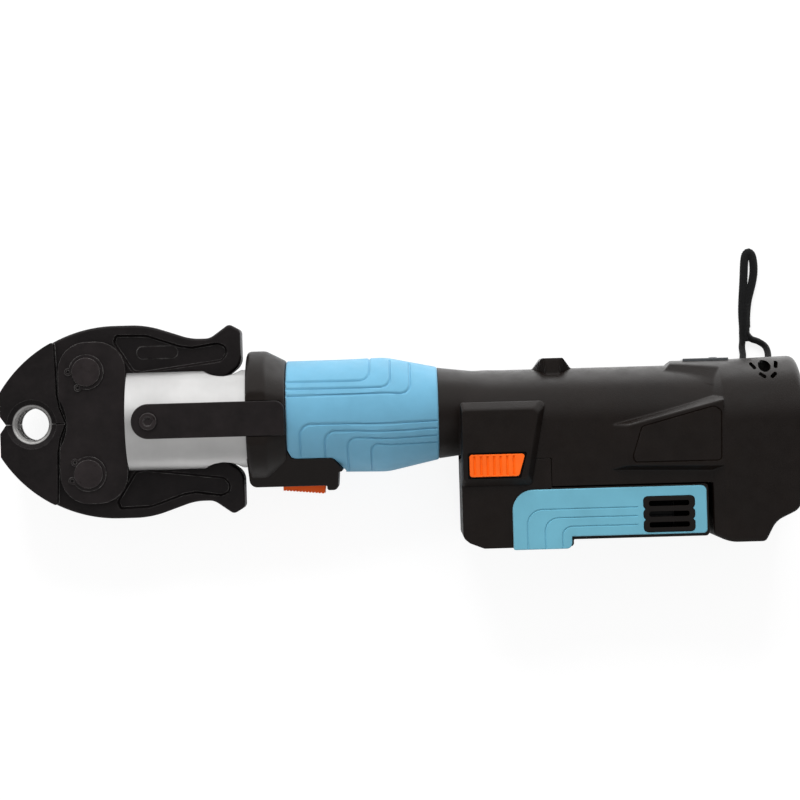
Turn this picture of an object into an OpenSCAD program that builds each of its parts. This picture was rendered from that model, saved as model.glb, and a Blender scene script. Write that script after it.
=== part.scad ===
// Cordless press tool for plastic water pipe, lying on its far side.
// Millimetres. The press bore is at the origin with its axis up, the tool runs along +X,
// the trigger and the battery are on the -Y side, and +Z is the side that faces up.

/* [Jaws] */
// Diameter between the ridges of the closed press bore
bore_d = 17.2; // [15:0.2:18.4]
// Depth of the grooves between the press ridges
groove_depth = 0.9; // [0.6:0.1:1.4]
// Width of one press ridge
ridge_w = 3; // [2:0.2:4]
// Distance from one press ridge to the next
ridge_pitch = 7.6; // [6.6:0.2:8.4]
// Largest radius of the bevel around the press bore
bevel_r = 13.2; // [11.6:0.2:14.4]
// Depth of the bevel around the press bore
bevel_depth = 3; // [2:0.2:3.6]
// Gap between the two closed jaws
jaw_gap = 0.7; // [0.6:0.1:1.2]
// Thickness of the jaw tips
jaw_tip_w = 28; // [26:0.5:28.4]
// Thickness of the jaw levers between the link plates
jaw_lever_w = 17.6; // [14:0.2:18]
// Height of each jaw above the tool axis
jaw_half_h = 51.75; // [48:0.25:56]
// Distance from the press bore to the front of the jaws
jaw_front = 17; // [14.6:0.2:20]
// Height of the flat front of each jaw
jaw_front_h = 17; // [14:0.5:20]
// Height of the bevel at the front of the jaw mouth
mouth_h = 4.6; // [3:0.2:6]
// Depth of the bevel at the front of the jaw mouth
mouth_depth = 3.2; // [2:0.2:4]
// Depth of the pocket in each face of a jaw tail
pocket_depth = 2.6; // [1:0.2:3.4]
// Distance along the tool from the press bore to the jaw pivots
pivot_x = 30; // [28:0.2:31]
// Height of the jaw pivots above the tool axis
pivot_y = 27.25; // [26.6:0.2:28]
// Diameter of the jaw pivot pins
pivot_d = 15.5; // [12:0.5:17]
// Thickness of one link plate
plate_t = 4.8; // [3.8:0.2:5]
// Thickness of the snap rings on the pivot pins
clip_t = 1.1; // [0.8:0.1:1.4]
// Width of the bow spring strip between the jaw tails
bow_w = 12; // [8:0.5:14]
// Thickness of the bow spring strip
bow_t = 1.5; // [1:0.1:2]

/* [Head] */
// Radius of the silver yoke
yoke_r = 30; // [29:0.25:30.25]
// Distance from the press bore to the front of the yoke
yoke_x0 = 51.5; // [51.5:0.1:53]
// Length of the full round part of the yoke
yoke_len = 82.7; // [81:0.1:86]
// Width of the yoke slot that takes the jaws
slot_w = 29; // [28.8:0.1:30]
// Radius of the scallops beside the jaw tails
scallop_r = 18; // [15:0.5:22]
// Distance of the scallop bottoms from the tool axis
scallop_y = 23; // [21:0.25:25]
// Diameter of the jaw retaining pin
keeper_d = 13; // [10:0.5:13.5]
// Width of the pull strap
strap_w = 18.5; // [16:0.5:20]
// Thickness of the pull strap
strap_t = 3; // [2:0.1:3.6]
// Length of the pull strap from the retaining pin
strap_len = 70.5; // [67:0.5:71]
// Diameter of the strap screw head
strap_head_d = 9.2; // [8:0.2:10]
// Diameter of the drive rollers
roller_d = 12; // [11:0.2:12.2]
// Diameter of the roller pins
roller_pin_d = 6; // [5:0.2:7]

/* [Front collar and trigger] */
// Radius of the front collar
collar_r = 36; // [34.5:0.25:38]
// Length of the front collar
collar_len = 21; // [20:0.5:24]
// Amount that the side faces of the collar and pads stand out beyond the body
side_rise = 5; // [4.6:0.1:6]
// Distance from the tool axis to the underside of the trigger guard
guard_y = 37; // [36:0.25:39]
// Length of the trigger
trigger_len = 23.4; // [21:0.2:24]
// Width of the trigger
trigger_w = 12.8; // [10:0.2:14]
// Amount that the trigger stands below the guard at its rear
trigger_drop = 4.6; // [3.4:0.2:5.4]
// Number of grip teeth under the trigger
trigger_teeth = 13; // [8:1:16]

/* [Grip] */
// Length of the blue grip
grip_len = 81; // [78:0.5:90]
// Radius of the grip at the front collar
grip_front_r = 30.4; // [30:0.1:31]
// Largest radius of the grip
grip_mid_r = 31; // [30.6:0.1:32]
// Radius of the grip at its rear end
grip_rear_r = 24.8; // [24.6:0.1:26]
// Thickness of the grip sleeves
grip_t = 2.4; // [1.8:0.1:2.5]

/* [Housing] */
// Wall thickness of the housing shells
wall = 2.8; // [2.2:0.1:3]
// Length of the round neck behind the grip
neck_len = 13.5; // [12.5:0.5:18]
// Length of the body between the neck and the rear block
mid_len = 130; // [128:0.5:140]
// Length of the rear block
rear_len = 51; // [48:0.5:56]
// Height of the top of the body above the tool axis
body_top = 22.2; // [22:0.1:23]
// Distance from the tool axis to the flat sides of the body
body_hw = 28; // [27.4:0.1:28.4]
// Height of the top of the rear block above the tool axis
rear_top = 24.6; // [24.4:0.1:26]
// Depth of the rear block below the tool axis
rear_drop = 72.2; // [70:0.2:76]
// Width of the bevel around the raised rear faces
rear_bevel = 5.2; // [4:0.2:6]
// Height of the screw boss above the body
hump_h = 5.6; // [4:0.2:6.4]
// Diameter of the lanyard hole
lanyard_hole_d = 6.6; // [5.6:0.1:6.8]
// Length of the indicator lens on the top
lens_len = 24.7; // [20:0.1:27]

/* [Hydraulics and drive] */
// Diameter of the ram rod
rod_d = 16; // [14:0.5:17]
// Diameter of the ram piston
piston_d = 29.9; // [28:0.1:31]
// Thickness of the ram piston
piston_t = 10; // [8:0.5:11]
// Outside diameter of the ram cylinder
cylinder_d = 39.6; // [38:0.1:39.6]
// Wire diameter of the ram return spring
spring_wire = 2; // [1.5:0.1:2.2]
// Diameter of the motor can
motor_d = 36; // [30:0.5:37]
// Length of the motor can
motor_len = 60; // [50:0.5:66]
// Gear module of the planet stage
gear_module = 0.7; // [0.66:0.01:0.71]
// Width of the gears
gear_w = 8; // [6:0.2:9]

/* [Battery] */
// Depth of the battery nose below the tool axis
nose_drop = 72.3; // [71:0.1:74]
// Depth of the battery tail below the tool axis
bat_drop = 68.6; // [67.5:0.1:70]
// Height of the side pads above the tool axis
pad_top = 5.2; // [3:0.2:6]
// Thickness of the blue side panels
panel_t = 1.6; // [1:0.1:2]
// Diameter of one battery cell
cell_d = 18.2; // [14:0.1:18.4]
// Room behind the battery cells
cell_room = 15.3; // [8:0.1:30]
// Depth of the release button faces below the side pads
button_inset = 0.2; // [0.1:0.1:0.6]
// Length of the vent inserts
vent_len = 27; // [24:0.2:28]
// Height of one vent slot
vent_slot_h = 2.9; // [2:0.1:3.4]

/* [Hidden] */
// Facets on large round faces
round_facets = 96;
// Facets on small round faces
small_facets = 40;
// Facets on blended faces
blend_facets = 32;
// Points along each rounded corner of an outline
corner_steps = 6;
// Points along the crown of a jaw
crown_steps = 10;
// Amount by which a cut runs past the face that it opens
over = 1;
// Gap between still pieces whose round faces sit together
fit = 0.15;
// Gap between pieces that move past each other
run = 0.4;
// Gap around a shaft that turns or slides in its hole
shaft_fit = 0.06;
// Thickness of the thin slices that blended forms are made from
slice_t = 0.02;
// Half of the full turn
half_turn = 180;

// Jaw values
bore_r = bore_d / 2;
groove_r = bore_r + groove_depth;
ridge_count = 3;
pivot_r = pivot_d / 2;
crown_x = 45;
crown_rise = jaw_half_h - jaw_front_h;
crown_r = (pow(crown_x + jaw_front, 2) + pow(crown_rise, 2)) / (2 * crown_rise);
crown_y = jaw_half_h - crown_r;
crown_a0 = acos((-jaw_front - crown_x) / crown_r);
tip_x = 12.4;
tip_a = acos((tip_x - crown_x) / crown_r);
lever_hw = jaw_lever_w / 2;
tip_hw = jaw_tip_w / 2;
plate_z0 = lever_hw + run;
plate_z1 = plate_z0 + plate_t;
plate_x0 = 14.6;
plate_x1 = 51;
plate_half_h = 43.4;
plate_corner = 15.5;
plate_waist = 4;
plate_waist_r = 24;
plate_tongue_r = 10.4;
clip_rim = 1.7;
clip_seat = 0.7;
clip_r = pivot_r + clip_rim;
clip_in = pivot_r - clip_seat;
clip_angle = 310;
clip_turn_upper = -150;
clip_turn_lower = 170;
clip_ear_r = 2.1;
clip_hole_r = 0.8;
pin_end = 1.2;
bow_r = 9.7;
bow_x = 48;
bow_mouth = 100;
shoulder_x = 62;
waist_x0 = 86;
waist_x1 = 96;
waist_share = 0.8425;
waist_y = jaw_half_h * waist_share;
hook_x = 106.5;
hook_rise = 0.7;
tail_x = 112.6;
shoulder_turn = atan2(jaw_half_h - waist_y, waist_x0 - shoulder_x);
shoulder_fill = 0.876;
shoulder_r = shoulder_fill * (shoulder_x - crown_x) / tan(shoulder_turn / 2);
tail_high_share = 0.918;
tail_high = jaw_half_h * tail_high_share;
tail_low_share = 0.56;
tail_low = jaw_half_h * tail_low_share;
heel = [101.5, 20.6];
cam_rear = [95, 16.6];
cam_mid = [86.5, 13.5];
cam_front = [78, 12.9];
belly = [70, 15.7];
throat = [56, 16];
neck_in = [45, 10];
root_in = [28, 1.9];
root_x = 18;
tip_edge = [[13.2, 33], [13.5, 16], [14.8, 8.4]];
edge_r = 1;
soft_r = 3;
round_r = 8;
wide_r = 30;
// Pocket points as [x, depth below the jaw's crown or height, radius]
pocket_top = [[46.1, 5.95, edge_r], [shoulder_x, 6.45, round_r], [79.4, 12.45, round_r],
              [waist_x0, 13.55, round_r], [100, 11.55, soft_r], [104, 13.15, soft_r]];
pocket_low = [[104, 35, soft_r], [101.5, 32, soft_r], [59.5, 26.8, soft_r], [54.8, 27.4, soft_r]];
pocket_x0 = 45.1;
pocket_corner = 9.05;

// Head values
keeper_x = 64.5;
keeper_r = keeper_d / 2;
yoke_x1 = yoke_x0 + yoke_len;
slot_len = 66.5;
slot_x1 = yoke_x0 + slot_len;
scallop_x = 102.7;
spigot_r = 25.2;
spigot_len = 12;
cavity_r = 19.5;
cavity_past = 4.3;
cavity_x1 = yoke_x1 + cavity_past;
gland_r = 20.4;
strap_z0 = yoke_r + run;
strap_z1 = strap_z0 + strap_t;
keeper_short = 0.6;
keeper_z0 = keeper_short - yoke_r;
strap_end_r = 5;
screw_r = 2.4;
screw_len = 14;
strap_head_h = 2.4;
hex_r = 2.6;
hex_depth = 1.5;
hex_sides = 6;
roller_r = roller_d / 2;
roller_x = 85;
roller_y = 6.25;
roller_pin_r = roller_pin_d / 2;
fork_hw = 13.2;
fork_half_h = 12.9;
fork_front = 7;
fork_rear = 12;
fork_x0 = roller_x - fork_front;
fork_x1 = roller_x + fork_rear;
fork_web = 4.5;
cheek_gap = 0.5;
cheek_z0 = lever_hw + cheek_gap;
roller_short = 0.6;
roller_hw = lever_hw - roller_short;
stub_r = 5;

// Collar and trigger values
side_hw = body_hw + side_rise;
collar_lap = 18.7;
collar_x0 = yoke_x1 - collar_lap;
collar_x1 = collar_x0 + collar_len;
collar_gap = 0.25;
collar_in = yoke_r + collar_gap;
collar_edge = 1.6;
collar_flat = 10.2;
guard_len = 26.4;
guard_x1 = collar_x1 + guard_len;
guard_lug_drop = 2.6;
guard_top = 22.2;
guard_top_hw = 21.5;
guard_hw = 13;
guard_toe = 2;
guard_rake = 0.6;
guard_heel = 1;
guard_tail = 4;
guard_cut = 2.4;
guard_rise = 5;
guard_flare = 6;
trigger_lap = 3.2;
trigger_x0 = collar_x1 - trigger_lap;
trigger_x1 = trigger_x0 + trigger_len;
trigger_hw = trigger_w / 2;
trigger_in = 4.6;
trigger_top = guard_y - trigger_in;
trigger_front = 2.4;
trigger_rake = 1.2;
pocket_in = 7;
pocket_roof = guard_y - pocket_in;
hinge_back = 3;
hinge_in = 3.4;
hinge_x = trigger_x0 + hinge_back;
hinge_y = hinge_in - guard_y;
hinge_r = 1.2;
boss_r = 2.4;
tooth_depth = 0.7;
tooth_flat = 0.7;
tooth_drop = 0.75;
tooth_foot = 0.95;
switch_back = 13.3;
switch_in = 7.3;
switch_x0 = trigger_x0 + switch_back;
switch_len = 9;
switch_y0 = switch_in - guard_y;
switch_h = 6.8;
switch_hw = 4;
plunger_r = 1.3;
plunger_drop = 0.9;
coil_back = 8.2;
coil_x = trigger_x0 + coil_back;
coil_r = 1.9;
coil_wire = 0.6;
coil_turns = 1.25;

// Grip and housing values
grip_x0 = collar_x1 + fit;
grip_x1 = grip_x0 + grip_len;
grip_mid_share = 0.58;
grip_front_share = 0.36;
grip_front_dip = 0.2;
grip_bend_share = 1.11;
grip_bend = grip_len * grip_bend_share;
tube_gap = 0.1;
tube_t = 2.2;
body_x0 = grip_x1 + neck_len;
neck_step = 0.3;
neck_r0 = grip_rear_r - neck_step;
neck_r1 = 23.6;
neck_in_r = 20.1;
barrel_y = -25;
bay_y = -40.5;
barrel_len = 46;
bay_x0 = body_x0 + barrel_len;
rear_x0 = body_x0 + mid_len;
rear_x1 = rear_x0 + rear_len;
blend_x1 = rear_x0 + rear_bevel;
inner_hw = body_hw - wall;
inner_top = body_top - wall;
rear_wall = 6;
rear_bulge = 0.4;
rear_cut = [[3.8, 17.4], [18.4, 10.6], [24, 0]];
rear_cut_r = 2;
rear_foot = 3.9;
rear_foot_y = rear_foot - rear_drop;
rear_heel_y = rear_foot_y - rear_foot / 2;
rear_floor = 9;
rear_void_y = rear_floor - rear_drop;
rear_void_front = 8;
rear_void_rear = 18;
rear_void_x0 = rear_x0 + rear_void_front;
rear_void_x1 = rear_x1 - rear_void_rear;
arrow_len = 51.7;
arrow_x = rear_x0 - arrow_len;
arrow_top = -8.5;
arrow_low = -32.6;
arrow_rise = 8.2;
arrow_ramp = 11;
arrow_lift = 4.4;
arrow_foot = 2.2;
arrow_lean = 1.6;
bridge_len = 21.6;
pad_bridge_x0 = rear_x0 - bridge_len;
bridge_hw = 16;
bridge_ramp = 5;
bridge_sink = 7;
hump_back = 48.2;
hump_x = body_x0 + hump_back;
hump_base = 20.6;
hump_crown = 11.3;
hump_hw = 8;
hump_sink = 4;
hump_lip = 0.5;
boss_hole = 4;
screw_shank_r = 1.5;
screw_head_r = 2.7;
screw_head_h = 2;
screw_reach = 12;
screw_slack = 0.1;
side_head_in = 3;
side_head_z = side_head_in - body_hw;
hump_screw = [1.6, -4.6];
side_screws = [[bay_x0 + 7, -33.4], [rear_x0 - 6, -32.4], [rear_x1 - 20, -30], [rear_x0 + 13, 13]];
screws = [
    [hump_x, body_top + hump_screw[0], hump_screw[1]],
    for (q = side_screws) [q[0], q[1], side_head_z],
];
lanyard_in = 20.2;
lanyard_x = rear_x1 - lanyard_in;
lanyard_y = 20.3;
lanyard_z = 5;
lanyard_slot_w = 3.4;
lanyard_slot_len = 5.4;
lanyard_run_hw = 8;
lanyard_run_up = 1.4;
lanyard_run_depth = 7.4;
lanyard_slots = [[-5.9, 0.3, 68], [-2.5, -5.2, -28], [3.4, -5.1, 28], [6.3, 0.3, -68]];
lens_in = 37.5;
lens_x1 = rear_x1 - lens_in;
lens_hw = 5;
lens_h = 1;
lens_sink = 1.4;
lens_dome_r = 2.2;
lens_dome_in = 7.8;
lens_dome_h = 1.4;
lens_dome_x = lens_x1 - lens_dome_in;

// Hydraulic and drive values
rod_r = rod_d / 2;
piston_r = piston_d / 2;
ram_bore_r = piston_r + shaft_fit;
cylinder_r = cylinder_d / 2;
gland_len = 8.5;
bore_x0 = cavity_x1 + gland_len;
spring_room = 15;
piston_room = 11;
piston_x0 = bore_x0 + spring_room;
piston_x1 = piston_x0 + piston_t;
ram_travel = 40;
bore_x1 = piston_x0 + piston_room + ram_travel;
seal_w = 3;
seal_depth = 2;
spring_r = 11.5;
spring_turns = 4.5;
spring_sides = 10;
spring_steps = 20;
pump_x0 = bore_x1;
pump_flange = 3;
pump_flange_r = 19.6;
pump_r = 13.4;
pump_pit_r = 9;
pump_pit_in = 8;
pump_pit_x0 = pump_x0 + pump_pit_in;
pump_x1 = body_x0;
crank_r = 4;
crank_in = 5;
crank_x0 = pump_x0 + crank_in;
cam_in = 2.5;
cam_x0 = pump_pit_x0 + cam_in;
cam_w = 4.6;
cam_r = 5;
cam_throw = 0.8;
ring_r = 6.6;
plunger_d = 5;
plunger_tip = 8;
bladder_gap = 0.5;
bladder_t = 1.4;
bladder_r = 19.3;
case_r = 19;
case_wall = 1.8;
case_x0 = pump_x1;
carrier_x0 = case_x0 + case_wall + run;
carrier_t = 3.6;
carrier_r = 14.8;
gear_gap = 0.5;
gear_x0 = carrier_x0 + carrier_t + gear_gap;
gear_x1 = gear_x0 + gear_w;
case_lip = 8.4;
case_x1 = gear_x1 + case_lip;
case_void_r = 17.6;
sun_teeth = 12;
planet_teeth = 18;
ring_teeth = 48;
planets = 3;
pressure_angle = 20;
addendum_share = 0.8;
dedendum_share = 1.08;
backlash = 0.06;
gear_reach = gear_module * (sun_teeth + planet_teeth) / 2;
planet_pin_r = 1.6;
motor_r = motor_d / 2;
motor_x0 = case_x1;
motor_x1 = motor_x0 + motor_len;
motor_wall = 1.5;
shaft_r = 2.2;
armature_gap = 1.2;
armature_end = 8;
board_front = 14;
board_rear = 12;
board_x0 = bay_x0 + board_front;
board_x1 = rear_x0 - board_rear;
board_len = board_x1 - board_x0;
board_t = 1.6;
board_hw = 22;
// Parts on the board, as share of its length, share of its length, half width and height
board_parts = [[0.138, 0.241, 9, 8], [0.517, 0.207, 7, 5], [0.828, 0.155, 10, 9]];
term_in = 24;
term_x0 = bay_x0 + term_in;
term_len = 20;
term_hw = 11;
blade_t = 0.8;
blade_len = 6.4;
blade_pitch = 5.4;
blade_count = 4;
blade_w = 10;

// Battery values
bat_lap = 2.4;
bat_tail_gap = 2.2;
bat_x0 = body_x0 - bat_lap;
bat_x1 = rear_x0 - bat_tail_gap;
bat_gap = 0.5;
nose_top = barrel_y - bat_gap;
lid_top = bay_y - bat_gap;
lid_t = 2.6;
bat_wall = 2.5;
nose_gap = 1;
nose_x1 = bay_x0 - nose_gap;
nose_chamfer_x = 11;
nose_chamfer_y = 6;
nose_corner_x = 3.4;
foot_back = 26.4;
foot_len = 32;
foot_x0 = bat_x0 + foot_back;
foot_x1 = foot_x0 + foot_len;
pad_len = 46.8;
pad_low_len = 37;
pad_x1 = bat_x0 + pad_len;
pad_low = -39.2;
pad_low_x = bat_x0 + pad_low_len;
pad_bevel = 4;
pad_r = 3;
pad_round = 1.4;
button_in = 4.2;
button_len = 29.6;
button_low_len = 26;
button_pit = 4.2;
button_x0 = bat_x0 + button_in;
button_top = -22.4;
button_low = -34.2;
button_top_x1 = button_x0 + button_len;
button_low_x1 = button_x0 + button_low_len;
button_t = 1.8;
button_pit_z = side_hw - button_pit;
leaf_t = 0.4;
leaf_w = 5;
leaf_len = 18;
panel_top = -41.8;
panel_in = 1.2;
panel_x1 = bat_x1 - panel_in;
panel_big_r = 11;
panel_rise = 1.6;
panel_foot_in = 1;
panel_foot_r = 3;
panel_lap = 1.2;
panel_foot_y = -nose_drop - panel_lap;
panel_low_y = panel_rise - bat_drop;
vent_back = 33.5;
vent_x0 = panel_x1 - vent_back;
vent_y0 = -65.8;
vent_y1 = -47;
vent_gap = 0.2;
vent_slots = 3;
vent_pitch = 5.65;
vent_slot_len = 21.4;
vent_proud = 0.4;
vent_corner = 2;
vent_t = panel_t + vent_proud;
cell_in = 12;
cell_floor = 2.9;
cell_x0 = bat_x0 + cell_in;
cell_y = cell_floor + cell_d / 2 - bat_drop;
cell_gap = 0.4;
cell_len = (bat_x1 - bat_wall - cell_room - cell_gap - cell_x0) / 2;
strap_plate_t = 0.3;
strap_plate_w = 12;

// Lanyard values, route points measured along the tool
cord_d = 2.8;
web_w = 3.6;
web_t = 2;
cord_sides = 8;
cord_up = [0.2, 0.3, 1];
crimp_r = 2.7;
crimp_len = 6;
cord_route = [
    [386.2, 41.5, -31.2], [385.4, 37.5, -31.2], [385.0, 33.2, -30.2], [385.6, 28.6, -26.4],
    [386.0, 23.6, -21.2], [386.0, 20.9, -16.6], [386.1, 20.5, -12.6], [387.8, 20.1, -9.6],
    [392.0, 19.8, -8.4], [396.4, 20.1, -9.6], [398.2, 20.5, -12.6], [398.3, 20.9, -16.6],
    [400.0, 23.8, -21.4], [401.2, 27.6, -26.4],
    [399.6, 31.8, -30.0], [395.6, 35.0, -31.2], [391.0, 37.4, -31.2], [388.8, 41.5, -31.2],
];
web_route = [
    [387.0, 42.2, -30.6], [386.5, 46.0, -30.6], [386.4, 50.5, -30.6], [386.6, 55.5, -30.6],
    [386.7, 61.0, -30.6], [386.9, 67.0, -30.6], [387.3, 73.0, -30.6], [387.9, 78.6, -30.6],
    [389.0, 82.8, -30.6], [391.2, 84.6, -30.6], [393.2, 82.6, -30.6], [394.2, 78.0, -30.6],
    [394.5, 73.0, -30.6], [393.9, 68.0, -30.6], [392.4, 63.0, -30.6], [390.6, 58.4, -30.6],
    [389.4, 54.0, -30.6], [388.9, 49.6, -30.6], [388.6, 45.6, -30.6], [388.6, 42.2, -30.6],
];
crimp_at = [387.7, 49.4, -30.2];

// Outline helpers
function flat(p) = [p[0], p[1]];
function unit(v) = v / norm(v);
function arc(cx, cy, r, a0, a1, n) =
    [for (i = [0:n]) [cx + r * cos(a0 + (a1 - a0) * i / n), cy + r * sin(a0 + (a1 - a0) * i / n)]];

// Points of one rounded corner at p between its neighbours a and b
function corner(a, p, b) =
    let (
        u = unit(flat(a) - flat(p)),
        v = unit(flat(b) - flat(p)),
        half = acos(max(-1, min(1, u * v))) / 2,
        c = flat(p) + unit(u + v) * p[2] / sin(half),
        s = flat(p) + u * p[2] / tan(half) - c,
        e = flat(p) + v * p[2] / tan(half) - c,
        a0 = atan2(s[1], s[0]),
        turn = (atan2(e[1], e[0]) - a0 + 3 * half_turn) % (2 * half_turn) - half_turn
    )
    [for (k = [0:corner_steps]) c + p[2] * [cos(a0 + turn * k / corner_steps),
                                            sin(a0 + turn * k / corner_steps)]];

// Outline through corners given as [x, y, radius]
function rounded(c) = [
    for (i = [0:len(c) - 1])
        each (c[i][2] == 0 ? [flat(c[i])]
              : corner(c[(i + len(c) - 1) % len(c)], c[i], c[(i + 1) % len(c)]))
];

// Involute gear outline, with the angle of half a tooth at radius r
function involute(a) = tan(a) * half_turn / PI - a;
function tooth_half(z, m, r, slack) =
    let (rp = z * m / 2, rb = rp * cos(pressure_angle))
    half_turn / (2 * z) + slack / rp * half_turn / PI
    + involute(pressure_angle) - (r > rb ? involute(acos(rb / r)) : 0);
function gear_outline(z, m, r0, r1, slack) =
    let (rb = z * m / 2 * cos(pressure_angle), low = max(r0, rb), n = 4)
    [for (k = [0:z - 1]) each concat(
        [for (i = [0:n]) let (r = i == 0 ? r0 : low + (r1 - low) * (i - 1) / (n - 1),
                              a = k * 2 * half_turn / z - tooth_half(z, m, r, slack))
            [r * cos(a), r * sin(a)]],
        [for (i = [n:-1:0]) let (r = i == 0 ? r0 : low + (r1 - low) * (i - 1) / (n - 1),
                                 a = k * 2 * half_turn / z + tooth_half(z, m, r, slack))
            [r * cos(a), r * sin(a)]]
    )];

// Solid helpers
module box(x, y, z) {
    translate([x[0], y[0], z[0]]) cube([x[1] - x[0], y[1] - y[0], z[1] - z[0]]);
}
module rod_x(r, x0, x1, facets = round_facets) {
    translate([x0, 0, 0]) rotate([0, 90, 0]) cylinder(r = r, h = x1 - x0, $fn = facets);
}
module rod_z(r, x, y, z0, z1, facets = small_facets) {
    translate([x, y, z0]) cylinder(r = r, h = z1 - z0, $fn = facets);
}
module turned(profile) {
    rotate([0, 90, 0]) rotate_extrude($fn = round_facets) polygon(profile);
}
module slab(points, z0, z1) {
    translate([0, 0, z0]) linear_extrude(z1 - z0) polygon(points);
}
module section(x0, x1) {
    translate([x0, 0, 0]) rotate([90, 0, 90]) linear_extrude(x1 - x0) children();
}
module both_sides() {
    children();
    mirror([0, 0, 1]) children();
}
module near_half() {
    intersection() {
        children();
        box([-over, rear_x1 + over], [-rear_drop - over, collar_r + over], [0, side_hw + over]);
    }
}
module far_half() {
    intersection() {
        children();
        box([-over, rear_x1 + over], [-rear_drop - over, collar_r + over], [-side_hw - over, 0]);
    }
}

// Tube along a route, with a cross-section of any ring of points [side, up]
function dir_at(p, i) = unit(p[min(i + 1, len(p) - 1)] - p[max(i - 1, 0)]);
function frames(p, first) = [for (i = [0:len(p) - 1]) let (d = dir_at(p, i), s = unit(cross(d, first)))
                             [s, cross(s, d)]];
function smooth(p, i, t) =
    let (a = p[max(i - 1, 0)], b = p[i], c = p[i + 1], d = p[min(i + 2, len(p) - 1)])
    (2 * b + (c - a) * t + (2 * a - 5 * b + 4 * c - d) * t * t
     + (3 * b - a - 3 * c + d) * t * t * t) / 2;
function fine(p, n) = concat([for (i = [0:len(p) - 2], k = [0:n - 1]) smooth(p, i, k / n)],
                             [p[len(p) - 1]]);
module tube(route, shape, up) {
    f = frames(route, up);
    n = len(shape);
    rings = len(route);
    points = [for (i = [0:rings - 1], q = shape) route[i] + f[i][0] * q[0] + f[i][1] * q[1]];
    walls = [for (i = [0:rings - 2], j = [0:n - 1])
        each [[i * n + j, i * n + (j + 1) % n, (i + 1) * n + (j + 1) % n],
              [i * n + j, (i + 1) * n + (j + 1) % n, (i + 1) * n + j]]];
    ends = concat([for (j = [1:n - 2]) [0, j + 1, j]],
                  [for (j = [1:n - 2]) [(rings - 1) * n, (rings - 1) * n + j, (rings - 1) * n + j + 1]]);
    polyhedron(points, concat(walls, ends));
}
function ring_shape(w, h, n) = [for (j = [0:n - 1]) [w / 2 * cos(2 * half_turn * (j + 0.5) / n),
                                                     h / 2 * sin(2 * half_turn * (j + 0.5) / n)]];

// Jaw outlines
function crown_front() = arc(crown_x, crown_y, crown_r, crown_a0, tip_a, crown_steps);
function crown_rear() = arc(crown_x, crown_y, crown_r, tip_a, 90, crown_steps);
function lever_outline() = concat(
    [[-jaw_front + mouth_depth, jaw_gap / 2], [-jaw_front, mouth_h]],
    crown_front(),
    [for (i = [1:crown_steps]) crown_rear()[i]],
    corner([crown_x, jaw_half_h], [shoulder_x, jaw_half_h, shoulder_r], [waist_x0, waist_y]),
    corner([shoulder_x, jaw_half_h], [waist_x0, waist_y, wide_r], [waist_x1, waist_y]),
    corner([waist_x0, waist_y], [waist_x1, waist_y, round_r], [hook_x, jaw_half_h - hook_rise]),
    corner([waist_x1, waist_y], [hook_x, jaw_half_h - hook_rise, soft_r], [tail_x, tail_high]),
    corner([hook_x, jaw_half_h - hook_rise], [tail_x, tail_high, soft_r], [tail_x, tail_low]),
    corner([tail_x, tail_high], [tail_x, tail_low, round_r], heel),
    [heel, cam_rear, cam_mid, cam_front],
    corner(cam_front, [belly[0], belly[1], round_r], throat),
    corner(belly, [throat[0], throat[1], round_r], neck_in),
    corner(throat, [neck_in[0], neck_in[1], round_r], root_in),
    corner(neck_in, [root_in[0], root_in[1], round_r], [root_x, jaw_gap / 2]),
    [[root_x, jaw_gap / 2]]
);
function tip_outline() = concat(
    [[-jaw_front + mouth_depth, jaw_gap / 2], [-jaw_front, mouth_h]],
    crown_front(),
    tip_edge,
    [[root_x, jaw_gap / 2]]
);
function pocket_outline() = rounded(concat(
    [for (q = pocket_top) [q[0], jaw_half_h - q[1], q[2]]],
    [for (q = pocket_low) q],
    [[pocket_x0, jaw_half_h - pocket_corner, edge_r]]
));
module jaw() {
    difference() {
        union() {
            slab(tip_outline(), -tip_hw, tip_hw);
            slab(lever_outline(), -lever_hw, lever_hw);
        }
        rod_z(pivot_r + shaft_fit, pivot_x, pivot_y, -tip_hw - over, tip_hw + over, round_facets);
        rotate_extrude($fn = round_facets) polygon(bore_profile());
        both_sides() slab(pocket_outline(), lever_hw - pocket_depth, lever_hw + over);
    }
}
function bore_profile() = concat(
    [[0, -tip_hw - over], [bevel_r, -tip_hw - over], [bevel_r, -tip_hw],
     [groove_r, -tip_hw + bevel_depth]],
    [for (k = [0:ridge_count - 1]) let (z = (k - (ridge_count - 1) / 2) * ridge_pitch)
        each [[groove_r, z - ridge_w / 2 - groove_depth], [bore_r, z - ridge_w / 2],
              [bore_r, z + ridge_w / 2], [groove_r, z + ridge_w / 2 + groove_depth]]],
    [[groove_r, tip_hw - bevel_depth], [bevel_r, tip_hw], [bevel_r, tip_hw + over],
     [0, tip_hw + over]]
);

module jaw_upper() {
    color("#26272a") jaw();
}

module jaw_lower() {
    color("#26272a") mirror([0, 1, 0]) jaw();
}

module plate() {
    translate([0, 0, plate_z0]) linear_extrude(plate_t) difference() {
        union() {
            polygon(rounded([
                [plate_x0, -plate_half_h, plate_corner], [plate_x1, -plate_half_h, plate_corner],
                [plate_x1, plate_half_h, plate_corner], [plate_x0, plate_half_h, plate_corner],
            ]));
            translate([keeper_x, 0]) circle(r = plate_tongue_r, $fn = round_facets);
            translate([plate_x1 - over, -plate_tongue_r])
                square([keeper_x - plate_x1 + over, 2 * plate_tongue_r]);
        }
        translate([plate_x0 + plate_waist - plate_waist_r, 0])
            circle(r = plate_waist_r, $fn = round_facets);
        translate([keeper_x, 0]) circle(r = keeper_r + shaft_fit, $fn = round_facets);
        for (s = [-1, 1])
            translate([pivot_x, s * pivot_y]) circle(r = pivot_r + shaft_fit, $fn = round_facets);
    }
}

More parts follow.
